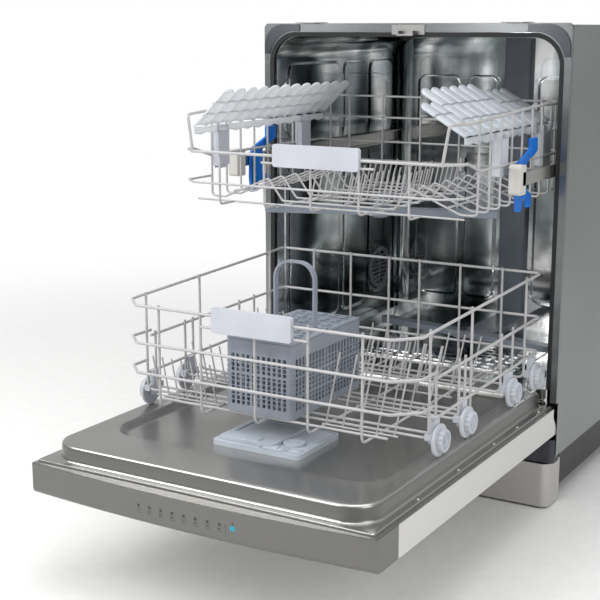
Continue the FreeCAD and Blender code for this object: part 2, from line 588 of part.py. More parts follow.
def build_door():
    t = DOOR_SKIN
    inset = 1.0
    x = DOOR_HALF
    far = -DOOR_LENGTH
    split = far + PANEL_DEPTH

    shell = liner_solid(0.0).cut(liner_solid(t))
    flange = box(-x + inset, x - inset, far + inset, -6, FLANGE_Z - t, FLANGE_Z)
    core = DOOR_HALF - RIM_INSET - t
    opening = rounded_block(-core, core, far + RIM_FRONT_INSET + t, -14 - t, FLANGE_Z - 2 * t, FLANGE_Z + t,
                            (RIM_CORNER - t, RIM_CORNER - t, 14, 14))
    latch = box(-14, 14, far + RIM_FRONT_INSET - 4, far + RIM_FRONT_INSET + 4, FLANGE_Z + 2, FLANGE_Z + 8)
    half_w = DISPENSER_W / 2 - 4
    half_l = DISPENSER_L / 2 - 4
    recess = box(-half_w, half_w, DISPENSER_Y - half_l, DISPENSER_Y + half_l, FLANGE_Z, LEDGE_Z)
    liner = fuse([shell, flange.cut(opening)])
    save("door_liner", liner.cut(Part.makeCompound([latch, recess])))

    under = DOOR_UNDER_Z
    tray = box(-x, x, split + RUN, DOOR_TAIL, under, FLANGE_Z - t)
    hollow = box(-x + t, x - t, split + RUN - 1, DOOR_TAIL - t, under + t, FLANGE_Z)
    tail_cut = box(-x + t, x - t, -4, DOOR_TAIL + 1, under + t, FLANGE_Z)
    slope = [(-5, FLANGE_Z + 1), (DOOR_TAIL + 1, FLANGE_Z + 1), (DOOR_TAIL + 1, under + 5), (-5, under + 34)]
    tail_low = prism_yz(slope, -x - 1, x + 1)
    save("door_outer_panel", tray.cut(hollow).cut(tail_cut).cut(tail_low))

    arc_top = panel_profile(0.0, x)
    body = arc_top.extrude(V(0, 0, FLANGE_Z - t - under))
    edges = [e for e in body.Edges if e.BoundBox.ZMax < under + 0.1 and e.BoundBox.YMax < split - 1
             and e.BoundBox.XLength > 100]
    body = body.makeFillet(9.0, edges) if edges else body
    inner = panel_profile(3.0, x).extrude(V(0, 0, FLANGE_Z - under))
    inner.translate(V(0, 0, 3))
    lip = box(-x + 3, x - 3, far + inset, split, FLANGE_Z - t - 2, FLANGE_Z - t)
    keys = [touch_key(-83 + i * 20.2) for i in range(8)]
    light = touch_key(80.0)
    save("control_panel", cut(fuse([body.cut(inner), lip]), keys + [light]))
    save("touch_keys", keys)
    save("status_light", light)

    pan_low = LEDGE_Z - PAN_DEPTH - t
    filler = box(-x + 30, x - 30, split + 40, -60, under + t, under + t + 5)
    ribs = [box(s * 110 - 8, s * 110 + 8, -520, -120, under + t + 4.5, pan_low) for s in (-1, 1)]
    save("door_insulation", fuse([filler] + ribs))
    arms = []
    for s in (-1, 1):
        outer = DOOR_HALF - HINGE_GAP + 0.5
        x0, x1 = sorted((s * (outer - ARM_SHEET), s * outer))
        plate = prism_yz([(-HINGE_ARM, under + t), (-24, under + t), (-6, HINGE_Z - 8), (-6, HINGE_Z + 6),
                          (-28, FLANGE_Z - t), (-HINGE_ARM, FLANGE_Z - t)], x0, x1)
        eye = cyl(x0, HINGE_Y, HINGE_Z, 9, x1 - x0, V(1, 0, 0))
        hole = cyl(x0 - 1, HINGE_Y, HINGE_Z, 4.05, 8, V(1, 0, 0))
        arms.append(fuse([plate, eye]).cut(hole))
    save("hinge_arms", arms)
    build_dispenser(pan_low)


def panel_profile(inset, x):
    """Plan outline of the control panel with its bowed front."""
    far = -DOOR_LENGTH + inset
    split = -DOOR_LENGTH + PANEL_DEPTH
    half = x - inset
    front = Part.Arc(V(-half, far, DOOR_UNDER_Z), V(0, far - PANEL_BOW, DOOR_UNDER_Z), V(half, far, DOOR_UNDER_Z))
    edges = [front.toShape(), Part.makeLine(V(half, far, DOOR_UNDER_Z), V(half, split, DOOR_UNDER_Z)),
             Part.makeLine(V(half, split, DOOR_UNDER_Z), V(-half, split, DOOR_UNDER_Z)),
             Part.makeLine(V(-half, split, DOOR_UNDER_Z), V(-half, far, DOOR_UNDER_Z))]
    return Part.Face(Part.Wire(edges))


def bow_at(x):
    """How far the bowed front stands out at x."""
    radius = (DOOR_HALF ** 2 + PANEL_BOW ** 2) / (2 * PANEL_BOW)
    return math.sqrt(radius ** 2 - x ** 2) - (radius - PANEL_BOW)


def touch_key(x):
    """Small flush marker disc on the bowed control panel."""
    face_y = -DOOR_LENGTH - bow_at(x)
    return cyl(x, face_y - 0.2, KEY_Z, 2.4, 1.2, V(0, 1, 0))


def build_dispenser(pan_low):
    w = DISPENSER_W / 2
    l = DISPENSER_L / 2
    y = DISPENSER_Y
    pan = LEDGE_Z - PAN_DEPTH
    top = pan + DISPENSER_TOP
    flange = rounded_block(-w, w, y - l, y + l, pan, top, 8)
    box_in = box(-w + 6, w - 6, y - l + 6, y + l - 6, pan_low - 10, pan)
    cup = rounded_block(-w + 16, -w + 98, y - l + 18, y + l - 22, pan_low - 6, top + 1, 8)
    cap_bore = cyl(w - 33, y - 22, top - 5, 17.2, 10)
    save("dispenser_housing", fuse([flange, box_in]).cut(Part.makeCompound([cup, cap_bore])))
    lid = rounded_block(-w + 8, -w + 106, y - l + 8, y + l - 10, top + RUN, top + RUN + 5, 6)
    recess = rounded_block(-w + 18, -w + 92, y - l + 40, y + l - 18, top + RUN + 3.5, top + RUN + 6, 4)
    thumb = box(-w + 30, -w + 78, y - l + 14, y - l + 30, top + RUN + 4.5, top + RUN + 7)
    save("detergent_lid", fuse([lid.cut(recess), thumb]))
    knob = cyl(w - 33, y - 22, top - 4.7, 17, 9)
    slot = box(w - 33 - 12, w - 33 + 12, y - 24.5, y - 19.5, top + 2.3, top + 6)
    save("rinse_aid_cap", knob.cut(slot))


# ---- hinge side of the cabinet -------------------------------------------
def build_hinge_brackets():
    parts = []
    for s in (-1, 1):
        outer = DOOR_HALF - HINGE_GAP + 0.5 - ARM_SHEET - 0.4
        x0, x1 = sorted((s * (outer - 4.6), s * outer))
        plate = prism_yz([(-24, HINGE_Z - 10), (-24, HINGE_Z + 8), (-3, HINGE_Z + 8), (2, HINGE_Z + 12),
                          (60, HINGE_Z + 12), (60, BASE_TOP), (0.0, BASE_TOP), (-6, HINGE_Z - 14)], x0, x1)
        a, b = sorted((s * (outer - 0.6), s * (WIDTH / 2 - SHEET - 0.5)))
        plate = fuse([plate, box(a, b, 36, 60, BASE_TOP, BASE_TOP + 3)])
        pin_x = x0 if s > 0 else x1
        pin = cyl(pin_x, HINGE_Y, HINGE_Z, 4.0, 9.0, V(s, 0, 0))
        parts.append(fuse([plate, pin]))
    for s in (-1, 1):
        x = s * (WIDTH / 2 - SHEET - BASE_WALL - SPRING_R)
        parts.append(cyl(x, 70, BASE_STEP + BASE_WALL + SPRING_R, SPRING_R, 150, V(0, 1, 0)))
    save("hinge_brackets", parts)


# ---- lower rack ----------------------------------------------------------
def lower_rise(y):
    """Height gained by the rails from the front of the rack to y."""
    return (y - LR_FRONT) / (LR_BACK - LR_FRONT)


def lower_front():
    w = LR_HALF - LR_CHAMFER - LR_LEAD
    y = LR_FRONT
    wires = [rod([(-w, y, z), (w, y, z)], LR_THICK) for z in (LR_TOP_Z, LR_MID_Z, LR_LOW_Z)]
    for x in LR_FRONT_X:
        pts = [(x, y + 3.6, LR_TOP_Z + 4), (x, y + 3.6, LR_FLOOR_Z), (x, y + 3.6 + LR_TURN, LR_FLOOR_Z)]
        wires.append(rod(pts, LR_WIRE, 11))
    hx = -7.0
    hw = 71.0
    wires.append(rod([(hx - hw - 26, y + 0.5, LR_TOP_Z - 20), (hx + hw + 26, y + 0.5, LR_TOP_Z - 20)], LR_WIRE))
    front = fuse(wires)
    plate = rounded_block(hx - hw, hx + hw, LR_TOP_Z - 25, LR_TOP_Z + 14, 0, 9, 4)
    plate.rotate(V(0, 0, 0), V(1, 0, 0), 90)
    plate.translate(V(0, y + 3.0, 0))
    save("lower_rack_handle", plate.cut(front))
    return front


def lower_corner(s):
    """Rails round one front corner, with the ends of the two lower ones."""
    w = s * LR_HALF
    c = s * LR_CHAMFER
    lead = w - c - s * LR_LEAD
    y = LR_FRONT
    top = LR_TOP_Z + LR_TOP_RISE * lower_rise(LR_SIDE_Y)
    path = [(lead, y, LR_TOP_Z), (w - c, y, LR_TOP_Z), (w, y + LR_CHAMFER, LR_TOP_Z + 0.5), (w, LR_SIDE_Y, top)]
    wires = [rod(path, LR_THICK, 9)]
    for z, end in zip((LR_MID_Z, LR_LOW_Z), LR_WRAP_Y):
        wires.append(rod([(lead, y, z), (w - c, y, z), (w, y + LR_CHAMFER, z), (w, end, z)], LR_THICK, 9))
    return wires


def lower_side(s, corner):
    w = s * LR_HALF
    x = w - s * 3.6
    y1 = LR_BACK - 12
    cross = LR_FLOOR_Z + LR_CROSS
    rails = ((LR_TOP_Z, LR_TOP_RISE, LR_SIDE_Y), (LR_SIDE_MID_Z, LR_SIDE_RISE, LR_WRAP_Y[0]),
             (LR_SIDE_LOW_Z, LR_SIDE_RISE, LR_WRAP_Y[1]))
    wires = []
    for z, rise, y0 in rails:
        wires.append(rod([(w, y0, z + rise * lower_rise(y0)), (w, y1, z + rise * lower_rise(y1))], LR_THICK))
    for y in LR_HIGH_Y + LR_SHORT_Y:
        top = LR_TOP_Z + LR_TOP_RISE * lower_rise(y) + 4
        if y in LR_SHORT_Y:
            top = LR_SIDE_MID_Z + LR_SIDE_RISE * lower_rise(y) + 7
        wires.append(rod([(x, y, top), (x, y, cross), (x - s * LR_TURN, y, cross)], LR_WIRE, 11))
    return cut(fuse(wires), corner)


def lower_back():
    w = LR_HALF
    y = LR_BACK
    rails = []
    for z, rise in ((LR_TOP_Z, LR_TOP_RISE), (LR_SIDE_MID_Z, LR_SIDE_RISE), (LR_SIDE_LOW_Z, LR_SIDE_RISE)):
        start = z + rise * lower_rise(y - 12)
        back = z + rise
        rails.append(rod([(-w, y - 12, start), (-w, y, back), (w, y, back), (w, y - 12, start)], LR_THICK, 9))
    for x in LR_BACK_X:
        top = LR_TOP_Z + LR_TOP_RISE + 4
        foot = y - 3.6 - LR_TURN
        rails.append(rod([(x, y - 3.6, top), (x, y - 3.6, LR_FLOOR_Z), (x, foot, LR_FLOOR_Z)], LR_WIRE, 11))
    return fuse(rails)


def lower_floor():
    """Long floor wires from the front uprights and cross wires from the side ones."""
    y0 = LR_FRONT + 3.6 + LR_TURN
    y1 = LR_BACK - 3.6 - LR_TURN
    last = LR_HIGH_Y[-1] + 6
    cross = LR_FLOOR_Z + LR_CROSS
    wires = [rod([(x, y0, LR_FLOOR_Z), (x, last, LR_FLOOR_Z)], LR_WIRE) for x in LR_FRONT_X]
    wires += [rod([(x, LR_SHORT_Y[-1] - 6, LR_FLOOR_Z), (x, y1, LR_FLOOR_Z)], LR_WIRE) for x in LR_BACK_X]
    side = LR_HALF - 3.6 - LR_TURN
    wires += [rod([(-side, y, cross), (side, y, cross)], LR_WIRE) for y in LR_HIGH_Y + LR_SHORT_Y]
    wires.append(rod([(-205, LR_FRONT + 33, cross), (206, LR_FRONT + 33, cross)], LR_WIRE))
    return fuse(wires)


def tine_row(y, xs, lean, height):
    """Comb of leaning tines standing on one cross wire over the floor."""
    z = LR_FLOOR_Z + LR_CROSS - LR_THIN
    x0, x1 = min(xs) - 6, max(xs) + 6
    wires = [rod([(x0, y, z), (x1, y, z)], LR_THIN)]
    for x in xs:
        wires.append(rod([(x, y, z), (x + lean, y, z + height)], LR_THIN - 0.1))
    return fuse(wires)


def build_lower_rack():
    corners = lower_corner(-1) + lower_corner(1)
    walls = [lower_front(), lower_side(-1, corners), lower_side(1, corners), lower_back()] + corners
    save("lower_rack_walls", walls)
    floor = lower_floor()
    left = [-222 + i * 18.7 for i in range(7)]
    right = [91 + i * 29.0 for i in range(5)]
    middle = [-40 + i * 29.0 for i in range(9)]
    combs = [tine_row(y, left, -13, 64 if y < -300 else 84) for y in TINE_Y]
    combs += [tine_row(TINE_Y[0], right, 24, 116), tine_row(TINE_Y[1], right, 24, 116)]
    combs += [tine_row(y, middle, 17, 84) for y in TINE_Y[2:]]
    save("lower_rack_floor", [floor] + [comb.cut(floor) for comb in combs])

    clips = []
    wheels = []
    for s in (-1, 1):
        for wy in WHEEL_Y:
            z = LEDGE_Z + WHEEL_R + 0.4
            x0 = s * (LR_HALF - 9)
            axle = cyl(x0, wy, z, 3.0, 26.5, V(s, 0, 0))
            a, b = sorted((s * (LR_HALF - 9), s * (LR_HALF + 2.3)))
            boss = box(a, b, wy - 22, wy + 17, z + 3, z + 13)
            cap = rounded_block(a, b, wy - 9, wy + 9, z - 6, z + 36, 3)
            wires = [shape for shape in walls + [floor] if shape.BoundBox.intersect(cap.BoundBox)]
            clip = fuse([axle, boss, cap]).cut(Part.makeCompound(wires))
            clips.append(max(clip.Solids, key=lambda solid: solid.Volume))
            wheels.append((s, wy, z))
    save("wheel_clips", clips)
    for n, (s, wy, z) in enumerate(wheels):
        x = s * (LR_HALF + 2.6)
        disc = cyl(x, wy, z, WHEEL_R, 5, V(s, 0, 0))
        drum = cyl(x, wy, z, DRUM_R, 14, V(s, 0, 0))
        bore = cyl(x - s, wy, z, 3.06, 18, V(s, 0, 0))
        save("wheel_" + str(n + 1), fuse([disc, drum]).cut(bore))


# ---- cutlery basket ------------------------------------------------------
def basket_slots(z0, z1):
    """Openings of the front, back and side walls in three bands, and of the floor."""
    slots = []
    bands = ((z0 + 12, z0 + 32), (z0 + 36, z0 + 62), (z0 + 66, z1 - 22))
    across = 11
    step = (BASKET_X1 - BASKET_X0 - 18) / across
    along = 20
    pitch = (BASKET_Y1 - BASKET_Y0 - 18) / along
    for low, high in bands:
        for i in range(across):
            x = BASKET_X0 + 9 + i * step
            slots += [box(x + 2, x + step - 2, y - 5, y + 5, low, high) for y in (BASKET_Y0, BASKET_Y1)]
        for i in range(along):
            y = BASKET_Y0 + 9 + i * pitch
            slots += [box(x - 5, x + 5, y + 2, y + pitch - 2, low, high) for x in (BASKET_X0, BASKET_X1)]
    columns = 5
    rows = 9
    dx = (BASKET_X1 - BASKET_X0 - 20) / columns
    dy = (BASKET_Y1 - BASKET_Y0 - 20) / rows
    for i in range(columns):
        for k in range(rows):
            x = BASKET_X0 + 10 + i * dx
            y = BASKET_Y0 + 10 + k * dy
            slots.append(box(x + 4, x + dx - 4, y + 4, y + dy - 4, z0 - 1, z0 + BASKET_WALL + 1))
    return slots


def basket_sheets(z0, z1):
    """Floor, four walls, four corner posts and the dividers, meeting edge to edge."""
    w = BASKET_WALL
    x0, x1, y0, y1 = BASKET_X0, BASKET_X1, BASKET_Y0, BASKET_Y1
    e = BASKET_EDGE
    mid_x = (x0 + x1) / 2
    mid_y = (y0 + y1) / 2
    shell = rounded_block(x0, x1, y0, y1, z0 + w, z1, e)
    shell = shell.cut(rounded_block(x0 + w, x1 - w, y0 + w, y1 - w, z0, z1 + 1, e - w))
    blocks = [box(x0 + e, x1 - e, y0, y0 + w, z0, z1), box(x0 + e, x1 - e, y1 - w, y1, z0, z1),
              box(x0, x0 + w, y0 + e, y1 - e, z0, z1), box(x1 - w, x1, y0 + e, y1 - e, z0, z1)]
    for xa, ya in ((x0, y0), (x1 - e, y0), (x0, y1 - e), (x1 - e, y1 - e)):
        blocks.append(box(xa, xa + e, ya, ya + e, z0, z1))
    sheets = [shell.common(block) for block in blocks]
    sheets.append(rounded_block(x0, x1, y0, y1, z0, z0 + w, e))
    slots = basket_slots(z0, z1)
    sheets = [cut(sheet, slots) for sheet in sheets]
    sheets.append(box(x0 + w, x1 - w, mid_y - 4, mid_y + 4, z0 + w, z1))
    for ya, yb in ((y0 + w, mid_y - 4), (mid_y + 4, y1 - w)):
        sheets.append(box(mid_x - 1, mid_x + 1, ya, yb, z0 + w, z1 - 3))
    return sheets


def basket_strap(mid_x, mid_y, z1):
    """Flat carrying strap: two legs, a top bar and two round corners."""
    h = STRAP_HALF
    r = 30.0
    ring = xz_ring(h - STRAP_T, h, z1 + STRAP_RISE - STRAP_T, z1 + STRAP_RISE, z1, mid_y - STRAP_W / 2,
                   mid_y + STRAP_W / 2, r - STRAP_T, r)
    a = h - r
    c = z1 + STRAP_RISE - r
    top = z1 + STRAP_RISE + 1
    blocks = [box(-h - 1, 0, -900, 900, z1, c), box(0, h + 1, -900, 900, z1, c), box(-a, a, -900, 900, c, top),
              box(-h - 1, -a, -900, 900, c, top), box(a, h + 1, -900, 900, c, top)]
    parts = [ring.common(block) for block in blocks]
    for part in parts:
        part.translate(V(mid_x, 0, 0))
    return parts


def lid_hinge_ends():
    """Where the two barrels of each lid begin and end along X."""
    return ((BASKET_X0 + 11, BASKET_X0 + 17), (BASKET_X1 - 17, BASKET_X1 - 11))


def build_basket():
    z0 = LR_FLOOR_Z + LR_CROSS + LR_WIRE + 0.1
    z1 = z0 + BASKET_H
    mid_y = (BASKET_Y0 + BASKET_Y1) / 2
    mid_x = (BASKET_X0 + BASKET_X1) / 2
    axis_z = z1 + LID_AXIS
    knuckles = []
    for s in (-1, 1):
        y = mid_y + s * 9
        for xa, xb in lid_hinge_ends():
            ya, yb = sorted((y + s * 2.0, mid_y + s * 3.0))
            ears = [box(x, x + 2.5, ya, yb, z1, axis_z + 1.6) for x in (xa - 2.8, xb + 0.3)]
            pin = cyl(xa - 2.8, y, axis_z, LID_PIN, xb - xa + 5.6, V(1, 0, 0))
            knuckles.append(fuse(ears + [pin]))
    save("cutlery_basket", basket_sheets(z0, z1) + basket_strap(mid_x, mid_y, z1) + knuckles)

    for name, s in (("basket_lid_front", -1), ("basket_lid_rear", 1)):
        axis_y = mid_y + s * 9
        far = BASKET_Y0 + 1 if s < 0 else BASKET_Y1 - 1
        ya, yb = sorted((axis_y + s * 2.6, far))
        lid = rounded_block(BASKET_X0 + 1, BASKET_X1 - 1, ya, yb, z1 + 0.3, z1 + 3.3, 4)
        holes = []
        columns = 5
        pitch = (BASKET_X1 - BASKET_X0 - 16) / columns
        for i in range(columns):
            for k in range(3):
                x = BASKET_X0 + 8 + i * pitch
                y = ya + 10 + k * 30
                holes.append(rounded_block(x + 2, x + pitch - 2, y, y + 9, z1 - 1, z1 + 5, 2))
                holes.append(rounded_block(x + 6, x + pitch - 6, y + 13, y + 22, z1 - 1, z1 + 5, 2))
        barrels = []
        for xa, xb in lid_hinge_ends():
            barrels.append(cyl(xa, axis_y, axis_z, LID_BARREL, xb - xa, V(1, 0, 0)))
            yc, yd = sorted((axis_y, axis_y + s * 5))
            barrels.append(box(xa, xb, yc, yd, axis_z - LID_BARREL + 0.2, axis_z + 0.6))
        bore = cyl(BASKET_X0, axis_y, axis_z, LID_PIN + 0.06, BASKET_X1 - BASKET_X0, V(1, 0, 0))
        save(name, fuse([cut(lid, holes)] + barrels).cut(bore))


# ---- upper rack ----------------------------------------------------------
def upper_front():
    w = UR_HALF - 28 - LR_LEAD
    y = UR_FRONT
    wires = [rod([(-w, y, z), (w, y, z)], r) for z, r in ((UR_FRONT_Z, UR_THICK), (UR_RING_Z, UR_WIRE))]
    for x in UR_FRONT_X:
        pts = [(x, y + 3.4, UR_FRONT_Z + 3), (x, y + 3.4, UR_FLOOR_Z), (x, y + 14, UR_FLOOR_Z)]
        wires.append(rod(pts, UR_WIRE, 8))
    hw = 77.5
    hx = UR_HANDLE_X
    wires.append(rod([(hx - hw - 24, y + 0.5, UR_FRONT_Z - 12), (hx + hw + 24, y + 0.5, UR_FRONT_Z - 12)], UR_WIRE))
    front = fuse(wires)
    plate = rounded_block(hx - hw, hx + hw, UR_FRONT_Z - 17, UR_FRONT_Z + 19, 0, 8, 5)
    plate.rotate(V(0, 0, 0), V(1, 0, 0), 90)
    plate.translate(V(0, y + 2.5, 0))
    save("upper_rack_handle", plate.cut(front))
    return front


def upper_corner(s):
    """Rings round one front corner with the post that carries the top rail."""
    w = s * UR_HALF
    y = UR_FRONT
    inner = s * (UR_HALF - 28)
    wires = []
    for z, r, end in ((UR_FRONT_Z, UR_THICK, UR_SIDE_Z), (UR_RING_Z, UR_WIRE, UR_RING_Z)):
        lead = (inner - s * LR_LEAD, y, z)
        wires.append(rod([lead, (inner, y, z), (w, y + 26, z), (w, y + 40, z), (w, UR_ROWS[1], end)], r, 9))
    foot = (inner + s * 3, y + 3.2, UR_FRONT_Z - 3)
    post = [foot, (w - s * 15, y + 5, UR_TOP_FRONT_Z), (w, UR_SIDE_Y, UR_TOP_FRONT_Z)]
    wires.append(rod(post, UR_THICK, 8))
    return fuse(wires)


def upper_top(y):
    """Height of the side rail's centre line at y."""
    share = min(1.0, (y - UR_SIDE_Y) / (UR_LEVEL_Y - UR_SIDE_Y))
    return UR_TOP_FRONT_Z + (UR_TOP_Z - UR_TOP_FRONT_Z) * share


def upper_side(s, corner):
    w = s * UR_HALF
    y1 = UR_BACK - 12
    rail = [(w, UR_SIDE_Y, UR_TOP_FRONT_Z), (w, UR_LEVEL_Y, UR_TOP_Z), (w, y1, UR_TOP_Z)]
    wires = [rod(rail, UR_THICK, 60), rod([(w, UR_ROWS[1], UR_SIDE_Z), (w, y1, UR_SIDE_Z)], UR_THICK)]
    x = w - s * 3.4
    for y in UR_ROWS[1:]:
        wires.append(rod([(x, y, upper_top(y) + 3), (x, y, UR_FLOOR_Z), (x - s * 12, y, UR_FLOOR_Z)], UR_WIRE, 7))
    return fuse(wires).cut(corner)


def upper_back():
    w = UR_HALF
    y = UR_BACK
    wires = []
    for z in (UR_TOP_Z, UR_SIDE_Z):
        wires.append(rod([(-w, y - 12, z), (-w, y, z), (w, y, z), (w, y - 12, z)], UR_THICK - 0.4, 9))
    for z in (UR_BACK_Z, UR_RING_Z):
        wires.append(rod([(-w + 5, y, z), (w - 5, y, z)], UR_THICK - 0.4))
    for x in UR_BACK_X + (-UR_BACK_X[-1] - 18, UR_BACK_X[-1] + 24):
        wires.append(rod([(x, y - 3.4, UR_TOP_Z + 3), (x, y - 3.4, UR_FLOOR_Z), (x, y - 14, UR_FLOOR_Z)], UR_WIRE, 8))
    return fuse(wires)


def upper_floor():
    """Crosswise wires with raised ridges, tied by long wires."""
    wires = []
    w = UR_HALF - 15.4
    low = UR_FLOOR_Z
    for y in UR_ROWS:
        if y < UR_FRONT + 52:
            pts = [(-w - 10, y, low), (w + 10, y, low)]
            wires.append(rod(pts, UR_ROW_R))
            continue
        pts = [(-w, y, low), (-w + 16, y, low), (-132, y, low + 36), (-104, y, low), (104, y, low), (132, y, low + 36),
               (w - 16, y, low), (w, y, low)]
        wires.append(rod(pts, UR_ROW_R, 6))
    for x in UR_FRONT_X:
        wires.append(rod([(x, UR_FRONT + 14, low), (x, UR_ROWS[0], low)], UR_WIRE))
    for x in UR_BACK_X:
        wires.append(rod([(x, UR_ROWS[-1], low), (x, UR_BACK - 14, low)], UR_WIRE))
    for x in (-86, 86):
        wires.append(rod([(x, UR_ROWS[0] - 2, low - 3.0), (x, UR_ROWS[-1] + 2, low - 3.0)], UR_WIRE))
    for x in (-200, 200):
        wires.append(rod([(x, UR_ROWS[1] - 2, low + 10.8), (x, UR_ROWS[-1] + 2, low + 10.8)], UR_WIRE))
    return fuse(wires)


def upper_tines():
    rows = []
    z = UR_FLOOR_Z + 3.0
    for x in (-52.0, 18.0, 70.0):
        wires = [rod([(x, UR_ROWS[1] - 6, z), (x, UR_ROWS[-1] + 6, z)], 1.5)]
        for i in range(15):
            y = UR_ROWS[1] + 4 + i * 21.6
            wires.append(rod([(x, y, z), (x + 10, y, z + 44)], 1.4))
        rows.append(fuse(wires))
    return rows


def cup_shelf(s, slope, groups, posts):
    """Ribbed shelf sloping up towards the middle of the rack, on barrels at its low edge.

    Each group is a stretch along Y with its own reach."""
    angle = math.radians(slope)
    outer = s * SHELF_X
    dx = -s * math.cos(angle)
    dz = math.sin(angle)
    nx = s * math.sin(angle)
    nz = math.cos(angle)

    def slab(y_a, y_b, r0, r1, t0, t1):
        pts = []
        for r, t in ((r0, t0), (r1, t0), (r1, t1), (r0, t1)):
            pts.append((outer + dx * r + nx * t, SHELF_Z + dz * r + nz * t))
        return prism_xz(pts, y_a, y_b)

    pieces = []
    for y0, y1, reach in groups:
        pieces.append(slab(y0, y1, 6, reach - 8, 0, 2.2))
        count = round((y1 - y0) / 17)
        pitch = (y1 - y0) / count
        for i in range(count):
            a = y0 + i * pitch
            pieces.append(slab(a + 3, a + pitch - 3, 6, reach, 1.8, 6.0))
    bores = []
    for y in posts:
        pieces.append(slab(y - 13, y + 13, 0, 8, 0, 3))
        pieces.append(cyl(outer, y - 13, SHELF_Z, SHELF_BARREL, 26, V(0, 1, 0)))
        bores.append(cyl(outer, y - 14, SHELF_Z, SHELF_PIN + 0.06, 28, V(0, 1, 0)))
    return cut(fuse(pieces), bores)


def shelf_bracket(s, y, walls):
    """Clip on two side uprights that carries one shelf barrel on a pin."""
    x0, x1 = sorted((s * (SHELF_X - 5), s * (UR_HALF - 3.0)))
    plate = box(x0, x1, y - 17, y + 17, SHELF_Z - 66, SHELF_Z - SHELF_BARREL - 3)
    x2, x3 = sorted((s * (SHELF_X - 3.2), s * (UR_HALF - 3.0)))
    low = SHELF_Z - SHELF_BARREL - 4
    ears = [box(x2, x3, y + a, y + b, low, SHELF_Z + 3.2) for a, b in ((-17, -13.4), (13.4, 17))]
    pin = cyl(s * SHELF_X, y - 17, SHELF_Z, SHELF_PIN, 34, V(0, 1, 0))
    return fuse([plate] + ears + [pin]).cut(Part.makeCompound(walls))


def build_upper_rack():
    corners = [upper_corner(-1), upper_corner(1)]
    walls = [upper_front(), upper_side(-1, corners[0]), upper_side(1, corners[1]), upper_back()] + corners
    save("upper_rack_walls", walls)
    floor = upper_floor()
    save("upper_rack_floor", [floor] + [comb.cut(floor) for comb in upper_tines()])
    left_posts = (-238.0, 42.0)
    right_posts = (-152.0, 42.0)
    save("cup_shelf_left", cup_shelf(-1, 44.0, ((-322.0, 112.0, 92.0),), left_posts))
    right = ((-284.0, -216.0, 96.0), (-216.0, 2.0, 133.0), (2.0, 104.0, 112.0))
    save("cup_shelf_right", cup_shelf(1, 30.0, right, right_posts))
    brackets = [shelf_bracket(-1, y, walls) for y in left_posts] + [shelf_bracket(1, y, walls) for y in right_posts]
    save("shelf_brackets", brackets)

    arm_y = (UR_FRONT + UR_BACK) / 2 + 10
    pipe = [cyl(0, arm_y, ARM_PIPE_Z, 7, UR_BACK + 6 - arm_y, V(0, 1, 0)), cyl(0, arm_y, ARM_PIPE_Z - 9, 12, 18)]
    for y in UR_ROWS[5], UR_ROWS[7]:
        pipe.append(box(-8, 8, y - 6, y + 6, ARM_PIPE_Z + 4, UR_FLOOR_Z + 3))
    pipe.append(cyl(0, arm_y, ARM_PIPE_Z - 24, 7, 18))
    pipe.append(cyl(0, arm_y, ARM_PIPE_Z - 27, 12, 3))
    save("upper_feed_pipe", fuse(pipe).cut(floor))
    save("upper_spray_arm", spray_arm(0, arm_y, ARM_PIPE_Z - 22.7, ARM_REACH, 19.6, 7.06, 13))
    save("lower_spray_arm", spray_arm(0, SUMP_Y, TUB_FLOOR_Z + 23.0, ARM_REACH, -10.5, 8.06, 14))

    inner = TUB_HALF - 1.5 - RUN
    runner = box(inner - RUNNER_DEPTH, inner, SLIDE_FRONT, SLIDE_FRONT + SLIDE_LEN, SLIDE_Z - SLIDE_H / 2 + 2 + RUN,
                 SLIDE_Z + SLIDE_H / 2 - 2 - RUN)
    save("slide_runners", both_sides(runner))
    cap = rounded_block(UR_HALF + 10, inner, SLIDE_FRONT - 12, SLIDE_FRONT, SLIDE_Z - 16, SLIDE_Z + 14, 3)
    save("runner_end_caps", both_sides(cap))
    x1 = inner - RUNNER_DEPTH - RUN
    bar = box(x1 - SLIDER_DEPTH, x1, SLIDE_FRONT + 4, UR_BACK - 10, SLIDE_Z - 8, SLIDE_Z + 8)
    save("rack_sliders", both_sides(bar))
    y = SLIDE_FRONT + 16
    z = SLIDE_Z
    outline = [(y - 8, z - 50), (y + 3, z - 50), (y + 7, z - 22), (y + 22, z - 22), (y + 27, z - 46), (y + 38, z - 46),
               (y + 36, z), (y + 24, z + 18), (y + 24, z + 34), (y + 40, z + 44), (y + 40, z + 72), (y + 26, z + 72),
               (y + 26, z + 54), (y + 2, z + 40), (y - 4, z + 14)]
    lever = prism_yz(outline, UR_HALF + 3, x1 - SLIDER_DEPTH)
    save("height_levers", both_sides(lever))


def spray_arm(x, y, z, reach, angle, bore_r, width):
    """Flat hollow bar with rounded tips and jet holes, turned in plan."""
    bar = rounded_block(-reach, reach, -width, width, z, z + 12, width - 0.5)
    boss = cyl(0, 0, z - 1, 20, 14)
    arm = fuse([bar, boss])
    holes = [cyl(0, 0, z - 5, bore_r, 30)]
    for i in range(5):
        for s in (-1, 1):
            holes.append(cyl(s * (55 + i * 33), s * 4, z + 9, 2.0, 8))
    arm = cut(arm, holes)
    arm.rotate(V(0, 0, 0), V(0, 0, 1), angle)
    arm.translate(V(x, y, 0))
    return arm


build_base()
build_covers()
build_tub()
build_front_frame()
build_tub_fittings()
build_filter_and_salt()
build_machinery()
build_hinge_brackets()
build_door()
build_lower_rack()
build_basket()
build_upper_rack()
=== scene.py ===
import json
import math

